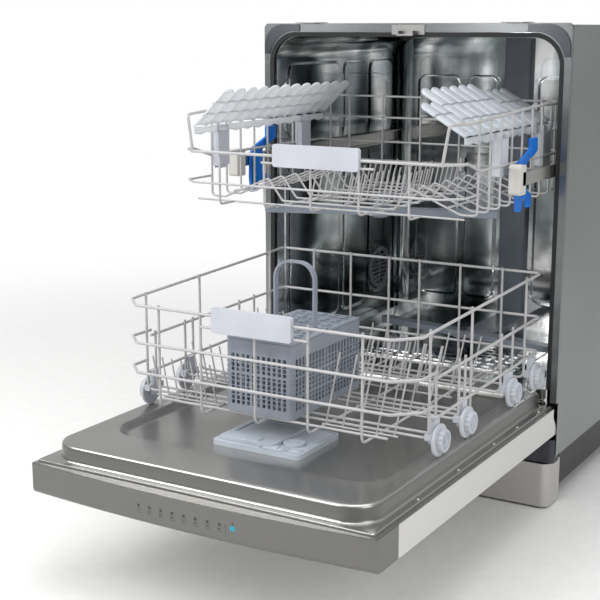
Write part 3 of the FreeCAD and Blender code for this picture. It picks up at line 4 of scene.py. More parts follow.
import bpy
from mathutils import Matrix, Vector


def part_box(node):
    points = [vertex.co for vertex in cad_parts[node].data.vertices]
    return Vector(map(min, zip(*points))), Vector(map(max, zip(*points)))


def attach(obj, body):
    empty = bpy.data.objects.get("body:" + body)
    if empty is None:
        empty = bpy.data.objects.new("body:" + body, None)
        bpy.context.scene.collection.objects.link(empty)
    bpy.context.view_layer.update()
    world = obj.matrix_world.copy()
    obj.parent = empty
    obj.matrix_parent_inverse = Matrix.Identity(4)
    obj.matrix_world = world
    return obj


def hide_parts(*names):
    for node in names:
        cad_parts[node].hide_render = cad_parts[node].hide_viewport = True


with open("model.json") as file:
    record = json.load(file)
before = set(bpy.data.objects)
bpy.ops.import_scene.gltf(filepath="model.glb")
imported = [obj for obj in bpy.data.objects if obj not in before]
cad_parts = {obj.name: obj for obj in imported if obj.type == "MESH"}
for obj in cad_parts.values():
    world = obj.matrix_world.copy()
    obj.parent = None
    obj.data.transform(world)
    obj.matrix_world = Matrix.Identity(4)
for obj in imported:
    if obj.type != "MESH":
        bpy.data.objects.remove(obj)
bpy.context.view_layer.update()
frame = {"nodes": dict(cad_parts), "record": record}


# ---- materials -------------------------------------------------------------
def srgb(text):
    """Linear colour of a #RRGGBB text."""
    out = []
    for i in (1, 3, 5):
        c = int(text[i:i + 2], 16) / 255
        out.append(c / 12.92 if c <= 0.04045 else ((c + 0.055) / 1.055) ** 2.4)
    return (out[0], out[1], out[2], 1.0)


def new_material(name):
    """New node material with its node and link lists and its shader."""
    mat = bpy.data.materials.new(name)
    mat.use_nodes = True
    nodes = mat.node_tree.nodes
    links = mat.node_tree.links
    shader = nodes["Principled BSDF"]
    return mat, nodes, links, shader


def noise(nodes, links, scale, detail, stretch=(1, 1, 1), roughness=0.55):
    """Noise in the object's own coordinates, stretched along its axes."""
    coord = nodes.new("ShaderNodeTexCoord")
    mapping = nodes.new("ShaderNodeMapping")
    mapping.inputs["Scale"].default_value = stretch
    tex = nodes.new("ShaderNodeTexNoise")
    tex.inputs["Scale"].default_value = scale
    tex.inputs["Detail"].default_value = detail
    tex.inputs["Roughness"].default_value = roughness
    links.new(coord.outputs["Object"], mapping.inputs["Vector"])
    links.new(mapping.outputs["Vector"], tex.inputs["Vector"])
    return tex


def ramp(nodes, links, source, stops):
    """Colour ramp through stops [(position, colour)]."""
    node = nodes.new("ShaderNodeValToRGB")
    node.color_ramp.elements[0].position = stops[0][0]
    node.color_ramp.elements[0].color = stops[0][1]
    node.color_ramp.elements[1].position = stops[-1][0]
    node.color_ramp.elements[1].color = stops[-1][1]
    for pos, col in stops[1:-1]:
        e = node.color_ramp.elements.new(pos)
        e.color = col
    links.new(source, node.inputs["Fac"])
    return node


def grey_ramp(nodes, links, source, low, high):
    """Grey from low to high, for a roughness."""
    return ramp(nodes, links, source, [(0.3, (low, low, low, 1)), (0.7, (high, high, high, 1))])


def soft_edges(nodes, radius=0.0008):
    """Normal of a surface whose edges read as slightly rounded."""
    node = nodes.new("ShaderNodeBevel")
    node.samples = 4
    node.inputs["Radius"].default_value = radius
    return node.outputs["Normal"]


def bump(nodes, links, shader, source, strength, distance, edge=0.0008):
    """Surface relief over softened edges."""
    node = nodes.new("ShaderNodeBump")
    links.new(soft_edges(nodes, edge), node.inputs["Normal"])
    node.inputs["Strength"].default_value = strength
    node.inputs["Distance"].default_value = distance
    links.new(source, node.inputs["Height"])
    links.new(node.outputs["Normal"], shader.inputs["Normal"])


def plastic(name, dark, light, rough=(0.38, 0.5), grain=0.12, specular=0.45):
    """Moulded plastic: faint colour drift and a fine spark-eroded grain."""
    mat, nodes, links, shader = new_material(name)
    cloud = noise(nodes, links, 14.0, 3.0)
    col = ramp(nodes, links, cloud.outputs["Fac"], [(0.35, srgb(dark)), (0.65, srgb(light))])
    links.new(col.outputs["Color"], shader.inputs["Base Color"])
    fine = noise(nodes, links, 900.0, 2.0)
    r = grey_ramp(nodes, links, fine.outputs["Fac"], rough[0], rough[1])
    links.new(r.outputs["Color"], shader.inputs["Roughness"])
    bump(nodes, links, shader, fine.outputs["Fac"], grain, 0.0004)
    shader.inputs["Specular IOR Level"].default_value = specular
    return mat


def clear_plastic(name, dark, light):
    """Frosted plastic that scatters light through thin sheets."""
    mat = plastic(name, dark, light, (0.2, 0.32), 0.05, 0.5)
    shader = mat.node_tree.nodes["Principled BSDF"]
    shader.inputs["Subsurface Weight"].default_value = 0.7
    shader.inputs["Subsurface Radius"].default_value = (1.0, 1.0, 1.0)
    shader.inputs["Subsurface Scale"].default_value = 0.008
    return mat


def painted_upright_shade(nodes, links, color, share):
    """Painted shade: colour that falls to a share of itself on upright faces."""
    geometry = nodes.new("ShaderNodeNewGeometry")
    split = nodes.new("ShaderNodeSeparateXYZ")
    links.new(geometry.outputs["Normal"], split.inputs["Vector"])
    size = nodes.new("ShaderNodeMath")
    size.operation = "ABSOLUTE"
    links.new(split.outputs["Z"], size.inputs[0])
    fade = nodes.new("ShaderNodeMapRange")
    fade.interpolation_type = "SMOOTHSTEP"
    fade.inputs["From Min"].default_value = 0.1
    fade.inputs["From Max"].default_value = 0.9
    fade.inputs["To Min"].default_value = share
    links.new(size.outputs["Value"], fade.inputs["Value"])
    mix = nodes.new("ShaderNodeMix")
    mix.data_type = "RGBA"
    mix.blend_type = "MULTIPLY"
    mix.inputs["Factor"].default_value = 1.0
    links.new(color, mix.inputs["A"])
    links.new(fade.outputs["Result"], mix.inputs["B"])
    return mix.outputs["Result"]


def brushed(name, dark, light, stretch, rough=(0.26, 0.32), metallic=1.0, upright_shade=1.0):
    """Brushed sheet: streaks drawn along one axis; a last argument below 1 paints shade on upright faces
    by darkening them.
    """
    mat, nodes, links, shader = new_material(name)
    streak = noise(nodes, links, 36.0, 2.0, stretch, 0.5)
    cloud = noise(nodes, links, 3.0, 2.0)
    mix = nodes.new("ShaderNodeMath")
    mix.operation = "MULTIPLY_ADD"
    mix.inputs[1].default_value = 0.6
    links.new(streak.outputs["Fac"], mix.inputs[0])
    add = nodes.new("ShaderNodeMath")
    add.operation = "MULTIPLY"
    add.inputs[1].default_value = 0.4
    links.new(cloud.outputs["Fac"], add.inputs[0])
    links.new(add.outputs["Value"], mix.inputs[2])
    col = ramp(nodes, links, mix.outputs["Value"], [(0.3, srgb(dark)), (0.7, srgb(light))])
    # upright faces get painted shade when the share given is below 1
    tone = col.outputs["Color"] if upright_shade == 1.0 else painted_upright_shade(nodes, links, col.outputs["Color"], upright_shade)
    links.new(tone, shader.inputs["Base Color"])
    r = grey_ramp(nodes, links, streak.outputs["Fac"], rough[0], rough[1])
    links.new(r.outputs["Color"], shader.inputs["Roughness"])
    links.new(soft_edges(nodes), shader.inputs["Normal"])
    shader.inputs["Metallic"].default_value = metallic
    return mat


def painted_reflection_sheet(name, rough, wave, distance):
    """Bright rolled stainless with painted reflections: slanting dark, grey and white stripes in its
    colour, on a slow waviness.
    """
    mat, nodes, links, shader = new_material(name)
    slow = noise(nodes, links, 5.0, 1.5)
    reflection_stripes = noise(nodes, links, 3.2, 1.0, (2.6, 2.6, 0.9), 0.4)
    # painted reflections: slanting stripes running from dark through grey to white
    col = ramp(nodes, links, reflection_stripes.outputs["Fac"],
               [(0.36, srgb("#4B5253")), (0.44, srgb("#878E8E")),
                (0.51, srgb("#C9CECE")), (0.57, srgb("#FFFFFF"))])
    links.new(col.outputs["Color"], shader.inputs["Base Color"])
    fine = noise(nodes, links, 240.0, 3.0, (1, 1, 0.08))
    r = grey_ramp(nodes, links, fine.outputs["Fac"], rough[0], rough[1])
    links.new(r.outputs["Color"], shader.inputs["Roughness"])
    bump(nodes, links, shader, slow.outputs["Fac"], wave, distance, 0.003)
    shader.inputs["Metallic"].default_value = 1.0
    return mat


def rubber(name, dark, light):
    """Dull rubber or bitumen with a fine grain."""
    mat, nodes, links, shader = new_material(name)
    fine = noise(nodes, links, 300.0, 3.0)
    col = ramp(nodes, links, fine.outputs["Fac"], [(0.3, srgb(dark)), (0.7, srgb(light))])
    links.new(col.outputs["Color"], shader.inputs["Base Color"])
    shader.inputs["Roughness"].default_value = 0.6
    bump(nodes, links, shader, fine.outputs["Fac"], 0.2, 0.0005)
    return mat


# stretch of the streaks: drawn along X or along Y
ALONG_X = (0.4, 20, 20)
ALONG_Y = (20, 0.4, 20)

MATS = {
    # tub steel with painted reflections in slanting stripes
    "tub": painted_reflection_sheet("tub_steel_painted_reflections", (0.07, 0.11), 0.5, 0.006),
    # liner steel: upright walls darkened to 0.38 of the colour as painted shade
    "liner": brushed("liner_steel_painted_shade", "#B9B8B5", "#BBBAB7", ALONG_Y, (0.25, 0.255),
                     metallic=0.9, upright_shade=0.38),
    "frame": brushed("frame_steel", "#7F8283", "#828586", ALONG_X, (0.22, 0.225), metallic=0.95),
    "panel": brushed("door_panel_steel", "#D4D3D0", "#D6D5D2", ALONG_Y, (0.3, 0.305), metallic=0.55),
    "control": brushed("control_steel", "#747472", "#767573", ALONG_X, (0.32, 0.325), metallic=0.8),
    "plinth": brushed("plinth_steel", "#B9B7B4", "#BBB9B6", ALONG_X, (0.32, 0.325), metallic=0.4),
    "zinc": brushed("zinc_sheet", "#8F9192", "#A6A8A9", (4, 4, 4), (0.35, 0.5)),
    "bracket": brushed("bracket_steel", "#8C8C8B", "#A6A6A4", (8, 8, 8), (0.3, 0.42)),
    "rail": brushed("rail_steel", "#BDBBB6", "#C0BEB9", ALONG_Y, (0.24, 0.25)),
    "iron": brushed("ballast_iron", "#3C3C3E", "#555558", (3, 3, 3), (0.5, 0.7), metallic=0.6),
    "base": plastic("base_plastic", "#202124", "#2A2B2F"),
    "dark": plastic("slate_plastic", "#30313A", "#3A3B44"),
    "edge": brushed("corner_steel", "#54575B", "#575A5E", (2, 2, 2), (0.2, 0.22), metallic=0.9),
    "sump": plastic("sump_plastic", "#33383F", "#40464E"),
    "duct": plastic("duct_plastic", "#7F8793", "#8D95A0", (0.32, 0.42)),
    "grey": plastic("grey_plastic", "#848790", "#92959D"),
    "bitumen": rubber("bitumen", "#222222", "#2E2E2E"),
    "seal": rubber("seal_rubber", "#0C0D0F", "#141517"),
    "key": plastic("key_print", "#3A3A3B", "#474748", (0.3, 0.4), 0.02),
    "light": plastic("light_print", "#2793AD", "#35A5BD", (0.25, 0.35), 0.02),
    "dispenser": plastic("dispenser_plastic", "#AEB6C0", "#BCC3CC", (0.3, 0.42)),
    "wire": plastic("coated_wire", "#B1B0B1", "#BBBABB", (0.22, 0.32), 0.05, 0.5),
    "handle": plastic("handle_plastic", "#BFC2CB", "#C8CBD3", (0.34, 0.46)),
    "wheel": plastic("wheel_plastic", "#B8BCC4", "#C3C7CE", (0.34, 0.46)),
    "basket": plastic("basket_plastic", "#878E99", "#959CA7", (0.32, 0.44)),
    "seam": plastic("seam_line", "#7C8791", "#87919B", (0.4, 0.5), 0.02),
    "cream": plastic("cream_plastic", "#C3C1BC", "#CCCAC5", (0.3, 0.4)),
    "white": plastic("white_plastic", "#DDDBD8", "#E6E4E1", (0.3, 0.4)),
    "blue": plastic("blue_plastic", "#0A66C0", "#1173D2", (0.28, 0.38)),
    "shelf": clear_plastic("shelf_plastic", "#B2B8C0", "#BEC4CB"),
    # left shelf: a paler copy of the shelf plastic, painted light on its shaded underside
    "shelf_left": clear_plastic("shelf_left_plastic_painted_light", "#DCE2E9", "#E7ECF2"),
    # darker plastic for the strips at the shelves' rows of slots: painted shade
    "slot_row_shade": plastic("shelf_slot_shade_plastic", "#8F949C", "#9CA1A8", (0.26, 0.38)),
}

# material slot of the record, or a node's own choice, to the look
SLOT_TO_MAT = {
    "base_plastic": "base", "plinth_steel": "plinth", "dark_plastic": "dark", "zinc_sheet": "zinc",
    "tub_steel": "tub", "sump_plastic": "sump", "frame_steel": "frame", "seal_rubber": "seal",
    "cap_plastic": "edge", "bracket_steel": "bracket", "duct_plastic": "duct", "rail_steel": "rail",
    "ballast_iron": "iron", "grey_plastic": "grey", "panel_steel": "panel", "control_steel": "control",
    "key_plastic": "key", "light_plastic": "light", "bitumen": "bitumen",
    "dispenser_plastic": "dispenser", "coated_wire": "wire", "handle_plastic": "handle",
    "wheel_plastic": "wheel", "basket_plastic": "basket", "white_plastic": "white",
    "blue_plastic": "blue", "shelf_plastic": "shelf",
}
NODE_MAT = {"door_liner": "liner", "rinse_aid_cap": "dispenser", "vent_grille": "grey",
            "slide_runners": "rail", "rack_sliders": "rail"}


def dress_nodes():
    """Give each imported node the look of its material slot."""
    slots = {s["node"]: s["material_slot"] for s in frame["record"]["subparts"]}
    for name, obj in frame["nodes"].items():
        key = NODE_MAT.get(name, SLOT_TO_MAT[slots[name]])
        obj.data.materials.clear()
        obj.data.materials.append(MATS[key])


dress_nodes()


# ---- sizes, in metres --------------------------------------------------------
SHELF_BARREL = 0.0045    # radius of the shelf's hinge barrels
SHELF_ROOT = 0.004       # sheet starts this far from the hinge line
SHELF_BASE = 0.0012      # sheet's valleys over the hinge plane
SHELF_SWELL = 0.0042     # height of a corrugation
LOBE_CUT = 0.009         # valleys end this far short of the lobes' tips
APRON = 0.010            # drop of the edge along the hinge
APRON_WAVE = 0.003       # extra drop under each lobe
SLOT_SHADE_ROWS = (0.3, 0.62)  # places of the dark strips over the reach, painted shade of the rows of slots
SLOT_SHADE_WIDTH = 0.004
SLOT_SHADE_LIFT = 0.0007
LEFT_SLOPE = math.radians(44)
RIGHT_SLOPE = math.radians(30)
# start and end along the shelf as shares, reach, number of lobes
LEFT_GROUPS = ((0.0, 1.0, 0.092, 12),)
RIGHT_GROUPS = ((0.0, 0.175, 0.096, 2), (0.175, 0.737, 0.133, 6), (0.737, 1.0, 0.112, 3))

# name, side and y of each leg
LEG_POSTS = (("left_front", -1, -0.179), ("left_rear", -1, 0.101),
             ("right_front", 1, -0.093), ("right_rear", 1, 0.101))
LEG_WIDTH = 0.034
LEG_LENGTH = 0.062
LEG_TOP_GAP = 0.012      # leg's top under the shelf bracket's top
LEG_INSET = 0.0075       # leg's middle in from the bracket's outer face
LEG_HALF = 0.0030        # half thickness between flutes
LEG_SWELL = 0.0022       # and its growth over a flute
LEG_FLUTES = 4
LEG_TAPER = 0.22         # share of the width lost at the foot
TAPER_FROM = 0.55        # share of the length above the taper

WHEELS = 8
WHEEL_BORE = 0.0032      # radius
DRUM_SHARE = 0.72        # drum radius over the rolling disc's
DRUM_RIBS = 14

BASKET_PITCH = 0.0075    # cross bars, one over the other
BASKET_BAR = 0.0009      # radius of a cross bar
ROD_SIDES = 8            # sides of the cross bars and of the seams
BASKET_BAND = 0.034      # height without cross bars, foot and plain top together
BASKET_FOOT = 0.012      # first cross bar over the bottom

LINING_INSET = 0.0003    # lining inside the side walls
LINING_FRONT = 0.002     # behind the tub's front edge
LINING_BACK = 0.0014     # in front of the tub's back
LINING_FOOT = 0.224      # height of its lower edge
LINING_TOP_GAP = 0.012   # under the tub's top
TUB_BEND = 0.028         # radius of the tub's upright corners
TUB_LIFT = 0.0028        # height of the pressed panels
PRESS_WIDTH = 0.004      # width of a pressed panel's slope
PANEL_RADIUS = 0.018
PANEL_FOOT = 0.250
SIDE_PANEL_TOP = 0.774
REAR_PANEL_TOP = 0.741
SIDE_PANELS = ((0.112, 0.316), (0.332, 0.432), (0.448, 0.556))
REAR_PANELS = ((-0.235, -0.134), (-0.118, -0.046), (0.046, 0.118), (0.134, 0.235))
RAIL_FLAT = 0.028        # flat half height of the wall at the slide rails
RAIL_FADE = 0.006
GRILLE_REACH = 0.052     # flat part of the wall round the vent grille
STEP_ALONG = 0.010       # mesh steps on the flats
STEP_UP = 0.016
FINE_STEP = 0.0022       # mesh step within NEAR_EDGE of a panel's edge
NEAR_EDGE = 0.022

LEVER_WIDTH = 0.0062
LEVER_GAP = 0.0005       # inside the solid levers' outer faces
END_CAP_LENGTH = 0.027
END_CAP_DEPTH = 0.021
END_CAP_FOOT = 0.580     # height of its underside

KEY_COUNT = 8
KEY_FIRST_X = -0.083
KEY_STEP = 0.0202
SYMBOL_Z = 0.1616
LINE_Z = 0.1576
STEM_Z = 0.1622
DIVIDER_AT = (0.0685, 0.1640)
LIGHT_AT = (0.080, 0.1655)
LIGHT_DOT_Z = 0.1730
PRINT_SINK = 0.0002      # marks start inside the panel
PRINT_DEPTH = 0.00035

# rectangles on the dispenser, (x0, x1, y0, y1)
LATCH = (0.012, 0.044, -0.4475, -0.4290)
LATCH_TAB = (0.020, 0.036, -0.4440, -0.4330)
STOP_Y = (-0.4010, -0.3880)
SEAM_FRAMES = ((0.008, 0.048, -0.4490, -0.4260), (0.006, 0.074, -0.3860, -0.3290),
               (0.052, 0.074, -0.4450, -0.4280))
LATCH_DEPTH = 0.0036
LATCH_SINK = 0.002       # starts this far inside the housing
TAB_DEPTH = 0.0042
TAB_SINK = 0.001
STOP_DEPTH = 0.0068
STOP_SINK = 0.006
SEAM_LIFT = 0.0001
SEAM_RADIUS = 0.0005

FLANGE_DROP = 0.031      # liner rim down to its edge flange
BOW_GAP = 0.001          # edge flange behind the control panel's face
WALL_INSET = 0.0195      # rows further in than this are measured from the rim
FRONT_SPLITS = 24        # steps along the bowed front edge
CORNER_STEPS = 8         # steps round a corner
SILL_CORNER = 0.014      # largest corner radius at the door's hinged end
RIVET_SIDES = 20
RIVET_Y = (0.010, -0.090, -0.190, -0.330, -0.470)
RIVET_INSET = 0.0118
RIVET_ROWS = ((0.0034, 0.0), (0.0031, 0.0009), (0.0020, 0.0014), (0.0006, 0.0015))
RIVET_BASE = 0.0048      # liner's step under the rivets
# side, front and back inset, height over the flange or the rim, corner radius
LINER_ROWS = (
    (0.0000, 0.0000, 0.000, -0.0008, 0.003), (0.0002, 0.0000, 0.000, 0.0000, 0.003),
    (0.0055, 0.0030, 0.001, 0.0002, 0.005), (0.0060, 0.0035, 0.001, 0.0035, 0.005),
    (0.0072, 0.0042, 0.002, 0.0046, 0.006), (0.0150, 0.0100, 0.004, 0.0050, 0.040),
    (0.0178, 0.0128, 0.006, 0.0058, 0.043), (0.0194, 0.0144, 0.007, 0.0076, 0.045),
    (0.0200, 0.0150, 0.008, -0.0205, 0.046), (0.0206, 0.0156, 0.008, -0.0050, 0.046),
    (0.0212, 0.0162, 0.009, -0.0028, 0.0455), (0.0226, 0.0176, 0.010, -0.0011, 0.0445),
    (0.0250, 0.0200, 0.012, -0.0002, 0.043), (0.0300, 0.0260, 0.016, 0.0000, 0.042),
    (0.0530, 0.1010, 0.034, 0.0000, 0.052), (0.0560, 0.1040, 0.036, -0.0006, 0.052),
    (0.0585, 0.1065, 0.038, -0.0022, 0.051), (0.0630, 0.1105, 0.041, -0.0065, 0.048),
    (0.0675, 0.1145, 0.044, -0.0108, 0.045), (0.0700, 0.1170, 0.046, -0.0123, 0.043),
    (0.0740, 0.1210, 0.049, -0.0129, 0.040))
# lever outline, (y, z)
LEVER = ((-0.006, 0.664), (-0.006, 0.646), (-0.028, 0.638), (-0.052, 0.630), (-0.060, 0.618),
         (-0.062, 0.575), (-0.058, 0.548), (-0.040, 0.548), (-0.035, 0.566), (-0.016, 0.566),
         (-0.012, 0.550), (0.004, 0.550), (0.002, 0.572), (-0.022, 0.582), (-0.022, 0.622),
         (-0.012, 0.630), (0.008, 0.634), (0.026, 0.642), (0.024, 0.664))


# ---- shapes ----------------------------------------------------------------
def mesh_object(name, verts, faces, material, smooth=True):
    """New object from points and faces, linked to the scene."""
    mesh = bpy.data.meshes.new(name)
    mesh.from_pydata(verts, [], faces)
    mesh.materials.append(material)
    if smooth:
        mesh.polygons.foreach_set("use_smooth", [True] * len(mesh.polygons))
    mesh.update()
    obj = bpy.data.objects.new(name, mesh)
    bpy.context.scene.collection.objects.link(obj)
    return obj


def sheet(name, point, nu, nv, material, thickness):
    """Curved sheet from point(u, v) with u and v from 0 to 1, given a thickness."""
    verts = [point(i / nu, j / nv) for i in range(nu + 1) for j in range(nv + 1)]
    row = nv + 1
    faces = [(i * row + j, i * row + j + 1, (i + 1) * row + j + 1, (i + 1) * row + j)
             for i in range(nu) for j in range(nv)]
    obj = mesh_object(name, verts, faces, material)
    solid = obj.modifiers.new("thickness", "SOLIDIFY")
    solid.thickness = thickness
    solid.offset = 0
    return obj


def turned(name, rows, centre, sign, material, segments=96):
    """Lathe round an X axis; a row is (x, radius, rib depth, number of ribs)."""
    verts = []
    for x, radius, depth, ribs in rows:
        for k in range(segments):
            a = 2 * math.pi * k / segments
            r = radius - (depth if ribs and math.cos(ribs * a) < 0 else 0)
            verts.append(centre + Vector((sign * x, r * math.cos(a), r * math.sin(a))))
    faces = []
    for i in range(len(rows) - 1):
        for k in range(segments):
            n = (k + 1) % segments
            here, there = i * segments, (i + 1) * segments
            faces.append((here + k, here + n, there + n, there + k))
    obj = mesh_object(name, verts, faces, material)
    split = obj.modifiers.new("edges", "EDGE_SPLIT")
    split.split_angle = math.radians(35)
    return obj


def prism(name, outline, lift, depth, material, place, bevel=0.0008):
    """Flat outline [(a, b)] raised from lift by depth; place(a, b, c) gives the point in space."""
    count = len(outline)
    verts = [place(a, b, lift) for a, b in outline] + [place(a, b, lift + depth) for a, b in outline]
    faces = [tuple(range(count)), tuple(range(2 * count - 1, count - 1, -1))]
    faces += [(i, i + count, (i + 1) % count + count, (i + 1) % count) for i in range(count)]
    obj = mesh_object(name, verts, faces, material, False)
    if bevel:
        soft = obj.modifiers.new("soft", "BEVEL")
        soft.width = bevel
        soft.segments = 3
        soft.limit_method = "ANGLE"
    return obj


def rounded_loop(x, y0, y1, r0, r1, steps=CORNER_STEPS):
    """Closed outline of a rectangle with rounded corners; r0 at the y0 end, r1 at the y1 end."""
    loop = []
    for cx, cy, r, start in ((-x + r0, y0 + r0, r0, 180), (x - r0, y0 + r0, r0, 270),
                             (x - r1, y1 - r1, r1, 0), (-x + r1, y1 - r1, r1, 90)):
        for i in range(steps + 1):
            a = math.radians(start + 90 * i / steps)
            loop.append((cx + r * math.cos(a), cy + r * math.sin(a)))
    return loop


def disc(radius, count):
    """Outline of a circle, or of a regular shape with few corners."""
    turns = [math.tau * k / count for k in range(count)]
    return [(radius * math.cos(a), radius * math.sin(a)) for a in turns]


def rounded_rect(x0, x1, y0, y1, r):
    """Outline of a rounded rectangle from x0 to x1 and y0 to y1."""
    cx = (x0 + x1) / 2
    return [(cx + a, b) for a, b in rounded_loop((x1 - x0) / 2, y0, y1, r, r, 5)]


def skin(name, loops, material):
    """Skin over closed loops of equal length, the last one filled."""
    count = len(loops[0])
    verts = [p for loop in loops for p in loop]
    faces = []
    for i in range(len(loops) - 1):
        for k in range(count):
            n = (k + 1) % count
            faces.append((i * count + k, i * count + n, (i + 1) * count + n, (i + 1) * count + k))
    faces.append(tuple(range((len(loops) - 1) * count, len(loops) * count)))
    return mesh_object(name, verts, faces, material)


def door_loop(x, y0, y1, r0, r1, z, bow=0.0):
    """Rounded outline with extra points along its front edge, which bulges forward by bow."""
    loop = rounded_loop(x, y0, y1, r0, r1)
    left, right = loop[CORNER_STEPS], loop[CORNER_STEPS + 1]
    front = [(left[0] + (right[0] - left[0]) * i / FRONT_SPLITS, y0) for i in range(1, FRONT_SPLITS)]
    points = []
    for px, py in loop[:CORNER_STEPS + 1] + front + loop[CORNER_STEPS + 1:]:
        if py < y0 + r0:
            py -= max(0.0, bow * (1 - (px / x) ** 2))
        points.append((px, py, z))
    return points


def build_liner():
    """Pressed liner of the door: stepped edge, upright wall, rolled rim and shallow pan."""
    low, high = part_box("door_liner")
    half, top = high.x, high.z
    sill = top - FLANGE_DROP
    bow = low.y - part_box("control_panel")[0].y - BOW_GAP
    loops = []
    for side, front, back, z, r in LINER_ROWS:
        y0 = low.y + front
        y1 = high.y - back
        level = sill + z if side < WALL_INSET else top + z
        bulge = bow if front == 0 else 0.0
        loops.append(door_loop(half - side, y0, y1, r, min(r, SILL_CORNER), level, bulge))
    # the liner's material paints shade on its upright walls
    liner = skin("door_liner_look", loops, MATS["liner"])
    crease = liner.modifiers.new("crease", "EDGE_SPLIT")
    crease.split_angle = math.radians(32)
    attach(liner, "door")
    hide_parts("door_liner")
    for n, y in enumerate(RIVET_Y):
        x = half - RIVET_INSET
        rings = []
        for radius, lift in RIVET_ROWS:
            z = sill + RIVET_BASE + lift
            rings.append([(x + a, y + b, z) for a, b in disc(radius, RIVET_SIDES)])
        rivet = skin("liner_rivet_%d" % n, rings, MATS["rail"])
        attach(rivet, "door")


def rounded_gap(a, b, panel):
    """Signed distance from a rounded rectangle (a0, a1, b0, b1, radius); below zero inside."""
    a0, a1, b0, b1, r = panel
    da = abs(a - (a0 + a1) / 2) - (a1 - a0) / 2 + r
    db = abs(b - (b0 + b1) / 2) - (b1 - b0) / 2 + r
    return math.hypot(max(da, 0), max(db, 0)) + min(max(da, db), 0) - r


def stations(start, end, edges, coarse):
    """Sample positions from start to end, closer together near each edge."""
    out = [start]
    while out[-1] < end - 1e-9:
        close = any(abs(out[-1] - e) < NEAR_EDGE for e in edges)
        out.append(min(end, out[-1] + (FINE_STEP if close else coarse)))
    return out


def build_tub_lining():
    """Bright inner skin of the tub in steel with painted reflections: side and back walls in one sheet
    with pressed panels.
    """
    low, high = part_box("tub_shell")
    rail_low, rail_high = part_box("slide_rails")
    x = rail_high.x - LINING_INSET
    front, back = low.y + LINING_FRONT, high.y - LINING_BACK
    top = high.z - LINING_TOP_GAP
    side = back - TUB_BEND - front
    bend = TUB_BEND * math.pi / 2
    rear = 2 * (x - TUB_BEND)
    length = 2 * side + 2 * bend + rear
    rail_z = (rail_low.z + rail_high.z) / 2
    grille = sum(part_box("vent_grille"), Vector()) / 2
    panels = []
    for y0, y1 in SIDE_PANELS:
        s0, s1 = y0 - front, y1 - front
        panels.append((s0, s1, PANEL_FOOT, SIDE_PANEL_TOP, PANEL_RADIUS))
        panels.append((length - s1, length - s0, PANEL_FOOT, SIDE_PANEL_TOP, PANEL_RADIUS))
    middle = length / 2
    for x0, x1 in REAR_PANELS:
        panels.append((middle + x0, middle + x1, PANEL_FOOT, REAR_PANEL_TOP, PANEL_RADIUS))

    def spot(s):
        """Position on the wall line and the direction into the tub."""
        if s > middle:
            px, py, nx, ny = spot(length - s)
            return -px, py, -nx, ny
        if s < side:
            return -x, front + s, 1.0, 0.0
        if s < side + bend:
            a = (s - side) / TUB_BEND
            ca, sa = math.cos(a), math.sin(a)
            return -x + TUB_BEND * (1 - ca), back - TUB_BEND * (1 - sa), ca, -sa
        return -x + TUB_BEND + s - side - bend, back, 0.0, -1.0

    around = stations(0.0, length, [e for p in panels for e in p[:2]], STEP_ALONG)
    up = stations(LINING_FOOT, top, [e for p in panels for e in p[2:4]], STEP_UP)
    verts = []
    for s in around:
        px, py, nx, ny = spot(s)
        for z in up:
            gap = min(rounded_gap(s, z, p) for p in panels)
            share = min(1.0, max(0.0, 0.5 + gap / PRESS_WIDTH))
            clear = min(1.0, max(0.0, (abs(z - rail_z) - RAIL_FLAT) / RAIL_FADE))
            if math.hypot(py - grille.y, z - grille.z) < GRILLE_REACH:
                clear = 0.0
            lift = TUB_LIFT * (1 - share * share * (3 - 2 * share)) * clear
            verts.append((px + nx * lift, py + ny * lift, z))
    row = len(up)
    faces = [(i * row + j, i * row + j + 1, (i + 1) * row + j + 1, (i + 1) * row + j)
             for i in range(len(around) - 1) for j in range(row - 1)]
    # its material paints reflections on the walls as slanting stripes
    lining = mesh_object("tub_lining", verts, faces, MATS["tub"])
    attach(lining, "cabinet")


def build_levers():
    """Blue height levers with forked feet, and the pale end caps of the rails."""
    x0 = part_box("height_levers")[1].x - LEVER_GAP
    cap_low, cap_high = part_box("runner_end_caps")
    for side in (-1, 1):
        def place(a, b, c, side=side):
            return Vector((side * c, a, b))

        lever = prism("height_lever_%d" % side, LEVER, x0 - LEVER_WIDTH, LEVER_WIDTH, MATS["blue"],
                      place, 0.0012)
        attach(lever, "carriage")
        if side < 0:
            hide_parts("height_levers")
        y0, y1 = cap_low.y, cap_low.y + END_CAP_LENGTH
        z0 = END_CAP_FOOT
        face = [(y0 + 0.003, z0), (y1, z0), (y1, z0 + 0.048), (y0 + 0.004, z0 + 0.050),
                (y0, z0 + 0.045), (y0, z0 + 0.004)]
        cap = prism("rail_cap_%d" % side, face, cap_high.x - END_CAP_DEPTH, END_CAP_DEPTH, MATS["cream"],
                    place, 0.0022)
        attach(cap, "middle_rails")
        if side < 0:
            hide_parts("runner_end_caps")


def build_shelf_legs():
    """Ribbed half-round legs under the cup shelves."""
    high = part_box("shelf_brackets")[1]
    top = high.z - LEG_TOP_GAP
    for name, side, y in LEG_POSTS:
        for skin_name, face in (("in", -1), ("out", 1)):
            def point(u, v, side=side, y=y, face=face):
                swell = abs(math.sin(math.pi * LEG_FLUTES * u)) ** 0.6
                x = side * (high.x - LEG_INSET) + face * (LEG_HALF + LEG_SWELL * swell)
                taper = 1.0 - LEG_TAPER * max(0.0, v - TAPER_FROM) / (1.0 - TAPER_FROM)
                return Vector((x, y + (u - 0.5) * LEG_WIDTH * taper, top - LEG_LENGTH * v))

            leg = sheet("shelf_leg_%s_%s" % (name, skin_name), point, 40, 8, MATS["shelf"], 0.0010)
            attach(leg, "upper_rack")


